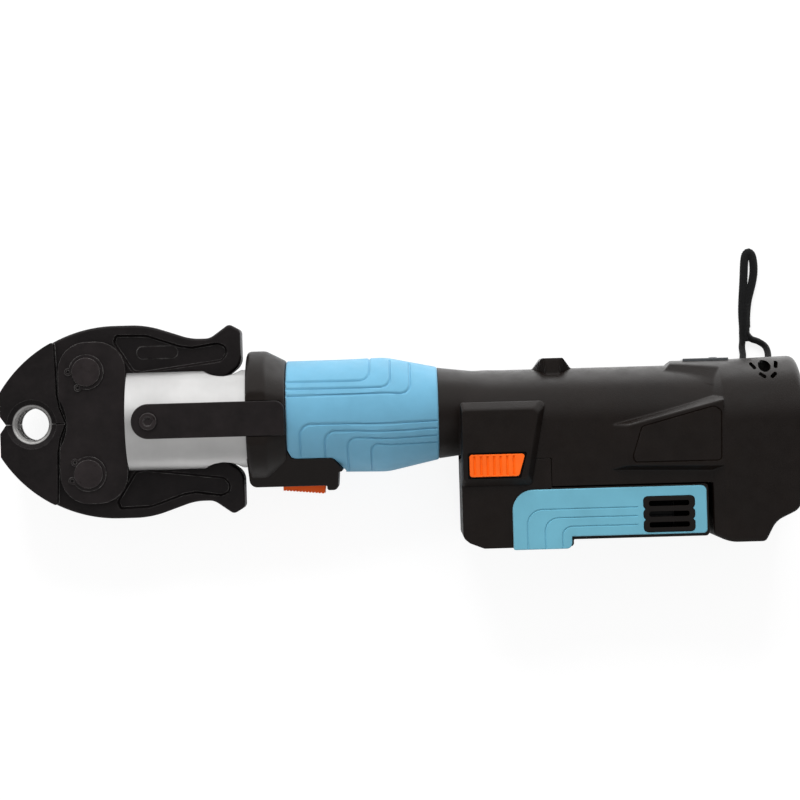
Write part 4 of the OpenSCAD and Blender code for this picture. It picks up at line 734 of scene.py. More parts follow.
def finishes():
    """The materials by name, made once from the panel's colours."""
    if FINISHES:
        return FINISHES
    c = bpy.context.scene.press_tool_colours
    FINISHES.update({
        "housing": moulded_plastic("housing_plastic", tuple(c.housing)),
        "vent": moulded_plastic("vent_plastic", shade(c.housing, 0.7), 0.55, 2400, 0.3),
        "grip": soft_rubber("grip_rubber", tuple(c.grip)),
        "panel": soft_rubber("panel_rubber", tuple(c.panel), 0.5),
        "button": moulded_plastic("button_plastic", tuple(c.button), 0.42, 2200, 0.15, 0.45),
        "trigger": moulded_plastic("trigger_plastic", tuple(c.trigger), 0.42, 2200, 0.15, 0.45),
        "jaw": oxide_steel("jaw_steel", tuple(c.jaw), 0.42, 0.3, 0.8, 0.0101),
        "plate": oxide_steel("plate_steel", shade(c.jaw, 1.5), 0.42, 0.12, 0.8),
        "pin": oxide_steel("pin_steel", shade(c.jaw, 2.6), 0.36, 0.08, 0.9),
        "yoke": turned_steel("yoke_turned_steel", tuple(c.yoke), 0.36, (5200, 60, 60), 0.92),
        "bright": turned_steel("bright_ground_steel", (0.62, 0.62, 0.63), 0.26, (300, 300, 2600)),
        "drive": turned_steel("drive_steel", (0.5, 0.5, 0.51), 0.32, (2400, 200, 200)),
        "brass": turned_steel("terminal_brass", (0.72, 0.5, 0.2), 0.3, (900, 900, 900)),
        "seal": soft_rubber("black_seal_rubber", (0.012, 0.012, 0.013), 0.6),
        "board": moulded_plastic("board_resin", (0.015, 0.13, 0.06), 0.4, 900, 0.2),
        # Near-black cells and straps: painted shade, so the cells seen through the vent slots read
        # as dark openings.
        "cell_shade": moulded_plastic("cell_film_painted_shade", (0.012, 0.013, 0.016), 0.3, 500, 0.1),
        "weave": woven_cord("lanyard_thread", tuple(c.lanyard)),
        "lens": smoked_lens("lens_plastic", (0.06, 0.065, 0.07)),
    })
    return FINISHES


# Properties

class PressToolSizes(bpy.types.PropertyGroup):
    camera_height: bpy.props.FloatProperty(
        name="Camera height", description="Height of the camera over the tool's mid-plane",
        default=1.25, min=0.6, max=4, unit="LENGTH")
    camera_turn: bpy.props.FloatProperty(
        name="Camera turn", description="Turn of the camera about its line of sight",
        default=radians(-1.62), subtype="ANGLE")
    frame_width: bpy.props.FloatProperty(
        name="Framed width", description="Width of the tool's mid-plane that the picture takes in",
        default=0.4325, min=0.1, max=2, unit="LENGTH")
    edge: bpy.props.FloatProperty(
        name="Steel edge", description="Rounding of the forged and milled edges",
        default=0.0007, min=0, max=0.002, unit="LENGTH")
    groove_depth: bpy.props.FloatProperty(
        name="Groove depth", description="Depth of the moulded lines in the grip",
        default=0.0008, min=0, max=0.002, unit="LENGTH")
    groove_width: bpy.props.FloatProperty(
        name="Groove width", description="Half width of the moulded lines in the grip",
        default=0.00062, min=0.0002, max=0.002, unit="LENGTH")
    cord: bpy.props.FloatProperty(
        name="Cord diameter", description="Diameter of the lanyard's cord",
        default=0.0038, min=0.001, max=0.006, unit="LENGTH")
    web: bpy.props.FloatProperty(
        name="Webbing width", description="Width of the lanyard's flat webbing",
        default=0.0048, min=0.002, max=0.008, unit="LENGTH")


class PressToolColours(bpy.types.PropertyGroup):
    housing: bpy.props.FloatVectorProperty(
        name="Housing", description="Colour of the housing, collar and battery case",
        default=(0.0046, 0.0026, 0.0018), min=0, max=1, subtype="COLOR")
    grip: bpy.props.FloatVectorProperty(
        name="Grip", description="Colour of the rubber grip",
        default=(0.125, 0.345, 0.50), min=0, max=1, subtype="COLOR")
    panel: bpy.props.FloatVectorProperty(
        name="Panel", description="Colour of the battery's side panels",
        default=(0.14, 0.40, 0.52), min=0, max=1, subtype="COLOR")
    button: bpy.props.FloatVectorProperty(
        name="Button", description="Colour of the battery's release buttons",
        default=(1.0, 0.125, 0.006), min=0, max=1, subtype="COLOR")
    trigger: bpy.props.FloatVectorProperty(
        name="Trigger", description="Colour of the trigger",
        default=(1.0, 0.11, 0.004), min=0, max=1, subtype="COLOR")
    jaw: bpy.props.FloatVectorProperty(
        name="Jaw steel", description="Colour of the blackened steel",
        default=(0.0098, 0.0078, 0.0080), min=0, max=1, subtype="COLOR")
    yoke: bpy.props.FloatVectorProperty(
        name="Yoke steel", description="Colour of the bright yoke",
        default=(0.62, 0.615, 0.61), min=0, max=1, subtype="COLOR")
    lanyard: bpy.props.FloatVectorProperty(
        name="Lanyard", description="Colour of the lanyard's thread",
        default=(0.0034, 0.0034, 0.0037), min=0, max=1, subtype="COLOR")


# Stage, in metres, with the floor's outline in millimetres

CAMERA_AT = (0.1973, 0.0076)
SENSOR_WIDTH = 36
VIEW_END = 20
FLOOR_BOX = (-3000, -3000, 3400, 3000)
FLOOR_DROP = 0.0002
FLOOR_GLOW = 1.14
FLOOR_SEEN = 0.74
FLOOR_REFLECTION_GLOW = (0.12, 0.25, 0.0, 2.4)
FLOOR_SHINE = (-0.02, 0.14, 0.0, 0.85)
LAMP_AIM = Vector((0.19, 0, 0))
LAMPS = (
    ("key", (0.2, 1.0, 0.56), 0.8, 17.0),
    ("fill", (-0.6, -0.5, 0.7), 0.7, 1.5),
    ("rim", (0.2, -0.9, 0.6), 0.6, 3.0),
)
SKY_FILL = 0.34
SKY_SHINE = 1.3
SKY_BANDS = ((0, 0.32), (0.1, 0.35), (0.275, 0.49), (0.45, 0.22), (0.53, 0.22), (0.65, 0.62),
             (0.785, 1.0), (0.925, 0.96), (1, 0.85))


def floor_paint():
    """White paint that glows for the camera, and in part for reflections, where its glow is a
    painted reflection on the tool.
    """
    f = Finish("floor_paint", (0.95, 0.95, 0.95), 0.9, specular=0.1)
    f.set_colour(f.ramp(f.noise(3, 2), 0.2, 0.8, (0.94, 0.94, 0.94), (0.96, 0.96, 0.96)))
    rays = f.node("ShaderNodeLightPath").outputs
    at = f.node("ShaderNodeSeparateXYZ", {"Vector": f.place}).outputs
    # Glow seen only in reflections, a painted reflection on the tool: strongest across a band of X,
    # and rising along Y.
    reflection_glow = f.times(rays["Is Glossy Ray"], f.span(at["X"], *FLOOR_REFLECTION_GLOW))
    glow = f.node("ShaderNodeEmission", {"Strength": f.maths("ADD", FLOOR_GLOW, reflection_glow)})
    shine = f.times(rays["Is Glossy Ray"], f.span(at["Y"], *FLOOR_SHINE))
    seen = f.span(rays["Is Camera Ray"], 0.0, 1.0, 0.0, FLOOR_SEEN)
    both = f.node("ShaderNodeMixShader", {
        0: f.maths("MAXIMUM", seen, shine), 1: f.shader.outputs[0], 2: glow.outputs[0]})
    f.tree.links.new(both.outputs[0], f.tree.nodes["Material Output"].inputs["Surface"])
    return f.material


def studio():
    """A world that is white to the camera, dim as light and banded in reflections."""
    world = bpy.data.worlds.new("studio")
    world.use_nodes = True
    tree = world.node_tree
    rays = wired(tree, "ShaderNodeLightPath").outputs
    clear = wired(tree, "ShaderNodeMath", {
        0: rays["Is Camera Ray"], 1: rays["Is Transmission Ray"]}, operation="MAXIMUM")
    way = wired(tree, "ShaderNodeTexCoord").outputs["Generated"]
    at = wired(tree, "ShaderNodeSeparateXYZ", {"Vector": way}).outputs
    across = wired(tree, "ShaderNodeMapRange", {"Value": at["Y"], "From Min": -1.0})
    bright = wired(tree, "ShaderNodeValToRGB", {"Fac": across.outputs["Result"]})
    stops = bright.color_ramp.elements
    for share, level in SKY_BANDS:
        stop = stops[0] if share == 0 else stops[-1] if share == 1 else stops.new(share)
        stop.color = (level, level, level, 1)
    shine = wired(tree, "ShaderNodeMath", {0: bright.outputs["Color"], 1: SKY_SHINE},
                  operation="MULTIPLY")
    mirror = wired(tree, "ShaderNodeMix", {
        "Factor": rays["Is Glossy Ray"], "A": SKY_FILL, "B": shine.outputs[0]})
    mix = wired(tree, "ShaderNodeMix", {
        "Factor": clear.outputs[0], "A": mirror.outputs["Result"], "B": 1.0})
    sky = tree.nodes["Background"]
    sky.inputs["Color"].default_value = (1, 1, 1, 1)
    tree.links.new(mix.outputs["Result"], sky.inputs["Strength"])
    return world


# Operators

class PRESSTOOL_OT_stage(bpy.types.Operator):
    """Makes the camera, the floor, the lights and the world"""
    bl_idname = "press_tool.stage"
    bl_label = "Stage"

    def execute(self, context):
        sizes = context.scene.press_tool_sizes
        data = bpy.data.cameras.new("camera")
        data.sensor_width = SENSOR_WIDTH
        data.lens = data.sensor_width * sizes.camera_height / sizes.frame_width
        data.clip_end = VIEW_END
        camera = added("camera", data)
        camera.location = (*CAMERA_AT, sizes.camera_height)
        camera.rotation_euler = (0, 0, sizes.camera_turn)
        context.scene.camera = camera

        floor = shell("floor", [(x, y, 0) for x, y in box(*FLOOR_BOX)], [(0, 1, 2, 3)])
        floor.location.z = REST_Z - FLOOR_DROP
        floor.data.materials.append(floor_paint())

        for name, at, size, power in LAMPS:
            lamp = bpy.data.lights.new(name, "AREA")
            lamp.size = size
            lamp.energy = power
            light = added(name, lamp)
            light.location = at
            light.visible_glossy = False
            light.rotation_euler = (LAMP_AIM - Vector(at)).to_track_quat("-Z", "Y").to_euler()

        context.scene.world = studio()
        context.scene.view_settings.view_transform = "Standard"
        return {"FINISHED"}


# Lanyard routes, in millimetres

CORD_A = [
    (392.0, 19.8, -8.4), (387.8, 20.1, -9.6), (386.1, 20.5, -12.6), (386.0, 20.9, -16.6),
    (386.2, 23.4, -21.2), (387.2, 27.4, -26.4), (387.3, 31.2, -30.0), (387.8, 34.6, -31.0),
    (388.4, 38.5, -31.0),
]
CORD_B = [
    (392.0, 19.8, -8.4), (396.4, 20.1, -9.6), (398.2, 20.5, -12.6), (398.3, 20.9, -16.6),
    (400.0, 23.8, -21.4), (401.0, 27.6, -26.4), (400.2, 31.6, -30.0), (396.6, 34.4, -31.0),
    (392.6, 36.0, -31.0), (390.2, 39.0, -31.0),
]
WEB_Z = -30.6
WEB = [(x, y, WEB_Z) for x, y in (
    (388.4, 42.2), (388.2, 46.0), (388.1, 50.5), (388.3, 55.5), (388.7, 61.0), (389.2, 67.0),
    (389.6, 73.0), (390.0, 78.6), (390.8, 82.4), (392.5, 83.8), (394.2, 82.2), (395.0, 78.0),
    (395.0, 73.0), (394.2, 68.0), (392.9, 63.0), (391.6, 58.4), (390.8, 54.0), (390.3, 49.6),
    (390.1, 45.6), (390.1, 42.2))]
SLEEVE = [
    (389.0, 34.6, -30.9), (389.0, 39.0, -30.9), (389.1, 44.0, -30.8), (389.2, 49.0, -30.7),
    (389.5, 55.5, -30.6),
]
SLEEVE_HALF = (1.9, 3.1)
WEB_HALF = 1.2
SLEEVE_WEAVE, CORD_WEAVE, WEB_WEAVE = (1.6, 0.16), (1.4, 0.16), (1.6, 0.18)
UP = (0, 0, 1)
CORD_UP = (0.2, 0.3, 1)


class PRESSTOOL_OT_lanyard(bpy.types.Operator):
    """Weaves the wrist lanyard through the slots of the rear block"""
    bl_idname = "press_tool.lanyard"
    bl_label = "Lanyard"

    def execute(self, context):
        sizes = context.scene.press_tool_sizes
        radius = sizes.cord / MM / 2
        sleeve = braid("stitched_sleeve", smooth_route(SLEEVE), *SLEEVE_HALF, UP, *SLEEVE_WEAVE)
        place(sleeve, "frame", "weave", "lanyard_weave", "lanyard_crimp")
        for name, route in (("cord_front", CORD_A), ("cord_rear", CORD_B)):
            line = smooth_route(route)
            piece = braid(name, line, radius, radius, CORD_UP, *CORD_WEAVE)
            place(piece, "frame", "weave", "lanyard_weave", "lanyard_cord")
        line = smooth_route(WEB)
        web = braid("webbing", line, WEB_HALF, sizes.web / MM / 2, UP, *WEB_WEAVE)
        place(web, "frame", "weave", "lanyard_weave", "lanyard_web")
        return {"FINISHED"}


# Jaws, in millimetres from the press bore's centre

CROWN = (45.0, -20.94, 72.69)
CROWN_FROM, CROWN_TIP, CROWN_LEVER = 148.5, 119.5, 90
MOUTH = [(-13.8, 0.05, 0), (-17.0, 4.6, 0)]
TIP_EDGE = [(12.7, 44.1, 3), (13.2, 33.0, 0), (13.5, 16.0, 0), (14.8, 8.4, 0), (18.0, 0.05, 0)]
TIP_HALF, LEVER_HALF = 14, 8.8
LEVER_EDGE = [
    (62.0, 51.75, 90), (86.0, 43.6, 30), (96.0, 43.6, 8), (106.5, 51.05, 3), (112.6, 47.5, 3),
    (112.6, 28.98, 8), (101.5, 20.6, 0), (95.0, 16.6, 0), (86.5, 13.5, 0), (78.0, 12.9, 0),
    (70.0, 15.7, 8), (56.0, 16.0, 8), (45.0, 12.8, 8), (33.0, 5.2, 6), (26.0, 1.2, 6),
    (18.0, 0.05, 0),
]
POCKET = [
    (46.1, 45.8, 1), (62.0, 45.3, 8), (79.4, 39.3, 8), (86.0, 38.2, 8), (100.0, 40.2, 3),
    (104.0, 38.6, 3), (104.0, 35.0, 3), (101.5, 32.0, 3), (59.5, 26.8, 3), (54.8, 27.4, 3),
    (45.1, 42.7, 1),
]
POCKET_STEPS = ((None, 6.2), (None, 6.5), (0.5, 8.0), (1.3, 8.9), (1.3, 12))
OBLONG = (56.5, 33.6, 78.5, 40.2, 3.2)
OBLONG_Z = (6.0, 6.6)
PIVOT = (30, 27.25, 7.82, 64)
PIVOT_Z = (-12, 12)
BORE_LAND, BORE_GROOVE, BORE_MOUTH = 8.6, 9.5, 13.2
BORE_HALF = [
    (BORE_LAND, 1.5), (BORE_GROOVE, 2.4), (BORE_GROOVE, 5.2), (BORE_LAND, 6.1), (BORE_LAND, 9.1),
    (BORE_GROOVE, 10.0), (BORE_GROOVE, 11), (BORE_MOUTH, 14), (BORE_MOUTH, 15),
]
BORE = [(r, -z) for r, z in reversed(BORE_HALF)] + BORE_HALF


def crown_arc(a0, a1, count):
    """Points of the jaw's crown between two angles in degrees."""
    x, y, r = CROWN
    turns = [radians(a0 + (a1 - a0) * k / count) for k in range(count + 1)]
    return [(x + r * cos(turn), y + r * sin(turn), 0) for turn in turns]


def forged_jaw(name, edge, oblong):
    """The upper jaw with its tip, lever, pockets and press bore."""
    outline = rounded(MOUTH + crown_arc(CROWN_FROM, CROWN_LEVER, 36) + LEVER_EDGE)
    lever = plate("lever", outline, -LEVER_HALF, LEVER_HALF, edge * 2, 4, both=True)
    pocket = rounded(POCKET)
    cuts = [tiers("pocket", [(offset(pocket, d) if d else pocket, side * z)
                             for d, z in POCKET_STEPS]) for side in (1, -1)]
    carve(lever, *cuts, plate("pivot_room", ring(*PIVOT), *PIVOT_Z))
    outline = rounded(MOUTH + crown_arc(CROWN_FROM, CROWN_TIP, 20) + TIP_EDGE)
    tip = plate("tip", outline, -TIP_HALF, TIP_HALF, edge * 0.8, 3, both=True)
    pieces = [carve(piece, spun("bore", BORE)) for piece in (lever, tip)]
    if oblong:
        pieces.append(plate("oblong", box(*OBLONG), *OBLONG_Z, 0.3, 2))
    return merged(name, pieces, 32)


class PRESSTOOL_OT_jaws(bpy.types.Operator):
    """Forges the press jaws"""
    bl_idname = "press_tool.jaws"
    bl_label = "Jaws"

    def execute(self, context):
        edge = context.scene.press_tool_sizes.edge / MM
        upper = forged_jaw("jaw_forging_upper", edge, True)
        lower = forged_jaw("jaw_forging_lower", edge, False)
        for v in lower.data.vertices:
            v.co.y = -v.co.y
        lower.data.flip_normals()
        for piece, node in ((upper, "jaw_upper"), (lower, "jaw_lower")):
            place(piece, node, "jaw", "black_steel", node)
        return {"FINISHED"}


class PRESSTOOL_OT_links(bpy.types.Operator):
    """Finishes the link plates with their pins, clips and spring"""
    bl_idname = "press_tool.links"
    bl_label = "Link plates"

    def execute(self, context):
        for node, finish, width in (
                ("link_plate_near", "plate", 0.5), ("link_plate_far", "plate", 0.5),
                ("pivot_pins", "pin", 0.5), ("pivot_clips", "plate", 0.15),
                ("bow_spring", "drive", 0.1)):
            dress(node, finish, width)
        return {"FINISHED"}


STRAP = [(55.25, -9.25, 9.2), (136.2, -9.25, 1.5), (136.2, 9.25, 5.5), (55.25, 9.25, 9.2)]
STRAP_Z = (30.4, 33.4)
STRAP_SCREW = (64.5, 0, 2.6)
SCREW_ROOM_Z = (25, 40)


class PRESSTOOL_OT_yoke(bpy.types.Operator):
    """Finishes the bright yoke, its keeper pin and the strap"""
    bl_idname = "press_tool.yoke"
    bl_label = "Yoke and strap"

    def execute(self, context):
        dress("yoke", "yoke", 0.5)
        dress("keeper_pin", "bright", 0.4)
        strap = plate("strap_skin", rounded(STRAP, 14), *STRAP_Z, 0.6, 3)
        carve(strap, plate("screw_room", ring(*STRAP_SCREW), *SCREW_ROOM_Z))
        place(strap, "keeper", "plate", "black_steel", "pull_strap")
        dress("strap_screw", "pin", 0.4)
        return {"FINISHED"}


# Collar with its guard, in millimetres: profiles are (x, radius)

COLLAR_OUTER = [
    (115.5, 33.2), (115.55, 34.0), (115.9, 34.9), (116.6, 35.6), (117.6, 35.95), (118.6, 36.0),
    (124.4, 36.0), (125.6, 35.85), (126.8, 35.4), (135.2, 31.0), (135.9, 30.6), (136.3, 30.1),
    (136.4, 29.6),
]
COLLAR_BORE = 30.25
COLLAR_INNER = [(136.4, 27.0), (134.4, 27.0), (134.4, COLLAR_BORE), (115.5, COLLAR_BORE)]
COLLAR_FLAT = 33.0
COLLAR_COUNT = 180
STRAP_CHANNEL = [(110, -9.6, 0), (136.6, -9.6, 1.5), (136.6, 9.6, 1.5), (110, 9.6, 0)]
CHANNEL_Z = (30.3, 40)
GUARD = [
    (114.6, -18.0, 1.4), (116.1, -37.0, 4), (157.1, -37.0, 0.8), (157.1, -39.6, 1.2),
    (162.9, -39.6, 2.6), (163.5, -30.0, 0.8), (166.4, -29.2, 1.0), (160.5, -22.2, 3),
    (138.9, -22.2, 3), (136.5, -17.6, 0.8),
]
GUARD_HALF = 21.5
GUARD_STEPS = ((-0.6, -GUARD_HALF), (-0.3, -21.42), (-0.08, -21.2), (0.0, -20.9))
GUARD_TIP, GUARD_LOW, GUARD_FLARE = 13, 39.6, 0.471
TRIGGER_ROOM = (132.9, -50, 157.1, -30)
TRIGGER_ROOM_Z = (-6.8, 6.8)
YOKE_ROOM = (COLLAR_BORE, 90, 134.4)
GRIP_ROOM = (28.15, 90, 190)


class PRESSTOOL_OT_collar(bpy.types.Operator):
    """Moulds the front collar and finishes its trigger"""
    bl_idname = "press_tool.collar"
    bl_label = "Collar and trigger"

    def execute(self, context):
        points = []
        for x, r in COLLAR_OUTER + COLLAR_INNER:
            points += [(x, y, max(-COLLAR_FLAT, min(COLLAR_FLAT, z)))
                       for y, z in ring(0, 0, r, COLLAR_COUNT)]
        rows = len(COLLAR_OUTER + COLLAR_INNER)
        collar = shell("collar", points, bands(rows, COLLAR_COUNT, True))
        carve(collar, plate("channel", rounded(STRAP_CHANNEL), *CHANNEL_Z))
        outline = rounded(GUARD)
        steps = GUARD_STEPS + tuple((d, -z) for d, z in reversed(GUARD_STEPS))
        guard = tiers("guard", [(offset(outline, d), z) for d, z in steps])
        for v in guard.data.vertices:
            v.co.z *= (GUARD_TIP + (v.co.y / MM + GUARD_LOW) * GUARD_FLARE) / GUARD_HALF
        carve(guard, bar_x("yoke_room", *YOKE_ROOM), bar_x("grip_room", *GRIP_ROOM),
              plate("trigger_room", box(*TRIGGER_ROOM), *TRIGGER_ROOM_Z))
        whole = merged("collar_skin", [collar, guard], 32)
        place(whole, "frame", "housing", "black_plastic", "front_collar")
        dress("trigger", "trigger", 0.25)
        dress("trigger_pin", "drive")
        dress("trigger_spring", "drive")
        dress("trigger_switch", "seal", 0.3)
        return {"FINISHED"}


# Grip, in millimetres: moulded lines, and the radius over x

GRIP_LINES = [
    [(216.4, -4, 0), (143.9, -4, 6), (143.9, -21, 0)],
    [(216.4, -7.8, 0), (156.9, -7.8, 6), (156.9, -21.6, 0)],
    [(216.4, -11.6, 0), (168.9, -11.6, 5), (168.9, -29.8, 0)],
    [(216.4, -15.3, 0), (181.4, -15.3, 4), (181.4, -30.6, 0)],
    [(137.5, 18.6, 0), (181.3, 18.6, 5), (181.3, 30.8, 0)],
    [(137.5, 14.8, 0), (192.3, 14.8, 5), (192.3, 29.2, 0)],
    [(137.5, 11.1, 0), (202.8, 11.1, 5), (202.8, 27.0, 0)],
]
GRIP_X = (100, 136.65, 165.8, 190, 217.65, 260)
GRIP_R = (30.2, 30.2, 30.3, 30.8, 24.9, 15.9)
GRIP_MEAN, GRIP_WALL = 30.0, 2.3
GRIP_ROWS, GRIP_TURNS = (136.7, 217.6, 168), 166
GRIP_KNOTS, GRIP_BLUR = 641, 49
GRIP_SEAM = 0.006
LIP_DROP, LIP_RUN = 0.7, 0.9
GUARD_ROOM = [
    (136, -16.4), (136.75, -17.2), (138.9, -21.2), (141, -22.0), (160, -22.0), (161.6, -22.8),
    (167.3, -29.2), (167.3, -45), (130, -45), (130, -16.4),
]
GUARD_ROOM_Z = (-1, 45)


class PRESSTOOL_OT_grip(bpy.types.Operator):
    """Moulds the two grip halves with their lines"""
    bl_idname = "press_tool.grip"
    bl_label = "Grip"

    def execute(self, context):
        sizes = context.scene.press_tool_sizes
        depth, width = sizes.groove_depth / MM, sizes.groove_width / MM
        xs = np.linspace(*GRIP_ROWS)
        fine = np.linspace(GRIP_X[0], GRIP_X[-1], GRIP_KNOTS)
        window = np.hanning(GRIP_BLUR) / np.hanning(GRIP_BLUR).sum()
        knots = np.pad(np.interp(fine, GRIP_X, GRIP_R), GRIP_BLUR // 2, "edge")
        radius = np.interp(xs, fine, np.convolve(knots, window, "valid"))
        turns = np.linspace(GRIP_SEAM, pi - GRIP_SEAM, GRIP_TURNS)
        gap = np.full((len(xs), len(turns)), np.inf)
        for spec in GRIP_LINES:
            track = []
            for x, y in bent(spec):
                r = float(np.interp(x, xs, radius))
                track.append((x, GRIP_MEAN * acos(max(-1, min(1, y / r)))))
            for (ax, ay), (bx, by) in zip(track, track[1:]):
                dx, dy = bx - ax, by - ay
                u, v = xs[:, None] - ax, GRIP_MEAN * turns[None, :] - ay
                t = np.clip((u * dx + v * dy) / (dx * dx + dy * dy), 0, 1)
                gap = np.minimum(gap, np.hypot(u - t * dx, v - t * dy))
        sink = depth * np.clip(1 - (gap / width) ** 2, 0, 1)
        lip = np.minimum(xs - xs[0], xs[-1] - xs)
        lip = LIP_DROP * np.clip(1 - lip / LIP_RUN, 0, 1) ** 2
        r = radius[:, None] - sink - lip[:, None]
        inner = radius[:, None] - GRIP_WALL + 0 * r
        near = walled("grip_skin_near", *(
            np.stack([xs[:, None] + 0 * r, k * np.cos(turns), k * np.sin(turns)], -1)
            for k in (r, inner)), 60)
        carve(near, plate("guard_room", GUARD_ROOM, *GUARD_ROOM_Z))
        sharpened(near, 50)
        place_both(near, "grip", "grip", "blue_grip", ("frame", "frame"))
        return {"FINISHED"}


# Housing, in millimetres: rows and turns of its mesh are (first, last, count)

HOUSING_ROWS = (
    (217.8, 230.5, 10), (231.0, 232.6, 6), (233.5, 266, 26), (267, 276.2, 14), (276.3, 277.2, 10),
    (277.6, 292, 22), (293, 306, 10), (306.6, 338, 60), (338.5, 359.5, 42), (360, 368, 24),
    (369, 404, 34),
)
END_ROWS = (7, 6.2, 5.5, 4.9, 4.3, 3.7, 3.2, 2.7, 2.2, 1.8, 1.4, 1.05, 0.75, 0.5, 0.3, 0.15, 0.05)
END_SHARES = (0.9, 0.75, 0.55, 0.35, 0.15, 0.005)
HOUSING_TURNS = (
    (0.004, 0.2, 14), (0.21, 1.1, 90), (1.115, 1.88, 50), (1.89, 2.16, 46),
    (2.175, pi - 0.004, 60),
)
HOUSING_MID = -14.0
HOUSING_WALL, END_WALL_SHARE = 2.2, 1.05
SEAM = 0.2
SCREWS = [
    (279.35, 23.8, -4.6), (284.15, -33.4, -24), (355.15, -32.4, -24), (392.15, -30.0, -24),
    (374.15, 13.0, -24),
]
SCREW_R = 3.1
HOLE_Z = (4, 60)
EYE_X, EYE_Y, EYE_R = 391.95, 20.3, 3.3
EYE_SLOTS = [(-6.1, 0.2, -58), (-2.0, -5.0, -36), (3.9, -5.0, 39), (6.2, 0.6, 70)]
SLOT_SIZE, THREADED_SIZE, THREADED_SPREAD = (2.1, 1.0), (2.6, 2.0), 1.14
WEB_BOX = (380.5, 11.5, 403.5, 22.6)
WEB_DEPTH = 4.6
LABEL = [
    (324.3, -9.9, 3), (363.0, 0.0, 4), (366.4, -2.9, 2), (365.8, -28.8, 2), (319.9, -28.7, 3),
    (319.3, -25.2, 3),
]
LABEL_GROOVE = 0.45


def housing_sheet(wall):
    """Points of the near half's surface, set in by a wall, with its end face closed."""
    xs = np.concatenate([*(np.linspace(*row) for row in HOUSING_ROWS),
                         END_TIP - np.array(END_ROWS)])
    turns = np.concatenate([np.linspace(*row) for row in HOUSING_TURNS])
    last = xs[-1] - wall * END_WALL_SHARE
    reach = xs[0] + (xs - xs[0]) * (last - xs[0]) / (xs[-1] - xs[0])
    rows = list(cast(lambda x, y, z: housing_form(x, y, z) + wall, reach, turns, HOUSING_MID, lean))
    rim = rows[-1]
    for share in END_SHARES:
        flat = rim[:, 1:] * share + np.array([HOUSING_MID, SEAM]) * (1 - share)
        rows.append(np.column_stack([reach[-1] + lean(reach[-1], flat[:, 0]), flat]))
    return np.array(rows)


def eye_slot(dx, dy, turn, threaded, low, high):
    """A cutter for one of the slots round the lanyard's eye."""
    c, q = cos(radians(turn)), sin(radians(turn))
    u0, v0 = THREADED_SIZE if threaded else SLOT_SIZE
    dx *= THREADED_SPREAD if threaded else 1.0
    outline = [(EYE_X + dx + u * c - v * q, EYE_Y + dy + u * q + v * c)
               for u, v in box(-u0, -v0, u0, v0, 0.8)]
    return plate("slot", outline, low, high)


class PRESSTOOL_OT_housing(bpy.types.Operator):
    """Moulds the housing halves"""
    bl_idname = "press_tool.housing"
    bl_label = "Housing"

    def execute(self, context):
        near = walled("housing_skin_near", housing_sheet(0.0), housing_sheet(HOUSING_WALL))
        far = mirrored(near, "housing_skin_far")
        for piece, half, sign in ((near, "near", 1), (far, "far", -1)):
            low, high = sorted(sign * z for z in HOLE_Z)
            cuts = [plate("hole", ring(EYE_X, EYE_Y, EYE_R), low, high)]
            for dx, dy, turn in EYE_SLOTS:
                cuts.append(eye_slot(dx, dy, turn, sign < 0 and dy > 0, low, high))
            if sign < 0:
                cuts += [plate("screw_hole", ring(x, y, SCREW_R), low, top) for x, y, top in SCREWS]
            cuts.append(groove_cutter(rounded(LABEL), sign * REAR_HALF, LABEL_GROOVE, True))
            carve(piece, merged("cuts", cuts))
            web = plate("web", box(*WEB_BOX), *sorted((sign * SEAM, sign * WEB_DEPTH)))
            whole = merged("housing_mould_" + half, [piece, web], 45)
            place(whole, "frame", "housing", "black_plastic", "housing_" + half)
        dress("housing_screws", "drive", 0.2)
        return {"FINISHED"}


class PRESSTOOL_OT_lens(bpy.types.Operator):
    """Finishes the indicator lens"""
    bl_idname = "press_tool.lens"
    bl_label = "Indicator lens"

    def execute(self, context):
        dress("indicator_lens", "lens", 0.4, 3)
        return {"FINISHED"}


# Battery, in millimetres

NOSE = [
    (228.75, -25.4, 2), (228.75, -66.3, 4), (232.2, -69.3, 3), (239.75, -72.3, 3),
    (287.15, -72.3, 2), (287.15, -68.6, 0.6), (358.95, -68.6, 2), (358.95, -41.0, 2),
    (276.3, -41.0, 0.4), (276.3, -25.4, 1),
]
CASE_HALF, CASE_ROOM = 28, 25.5
CASE_ROOMS = (
    ("cells_room", (231.25, -66.1, 356.45, -43.6)),
    ("lid_room", (276.15, -45, 356.45, -40)),
    ("nose_room", (231.25, -50, 273.65, -28)),
)
PAD_LOW = [(228.75, 5.2, 1.5), (274.15, 5.2, 3), (265.75, -39.2, 3), (228.75, -39.2, 1.5)]
PAD_HIGH = [(229.7, 1.0, 1.5), (269.9, 1.0, 3), (263.0, -35.2, 3), (229.7, -35.2, 1.5)]
PAD_STEPS = ((0, 28.4), (0, 28.9), (0.05, 29.3), (0.72, 32.0), (0.88, 32.6), (1.0, 32.9),
             (1.12, 33.0))
BUTTON = [(232.95, -34.2, 1.4), (258.95, -34.2, 1.4), (262.55, -22.4, 1.4), (232.95, -22.4, 1.4)]
BUTTON_SLACK = 1.0
BUTTON_ROOM_Z = (28.8, 40)
VENT_Y = (-62.05, -56.4, -50.75)
VENT_X = (327.05, 348.45)
VENT_HALF = 1.45
SLOT_ROOM_Z = (20, 30)


def vent_slots(name, r, z0, z1):
    """Cutters for the slots of a vent."""
    return [plate(name, box(VENT_X[0], y - VENT_HALF, VENT_X[1], y + VENT_HALF, r), z0, z1)
            for y in VENT_Y]


def grown(points, slack):
    """An outline of four corners from the lower left, with room round it."""
    ways = ((-1, -1), (1, -1), (1, 1), (-1, 1))
    return [(x + u * slack, y + v * slack, 1) for (x, y, _), (u, v) in zip(points, ways)]


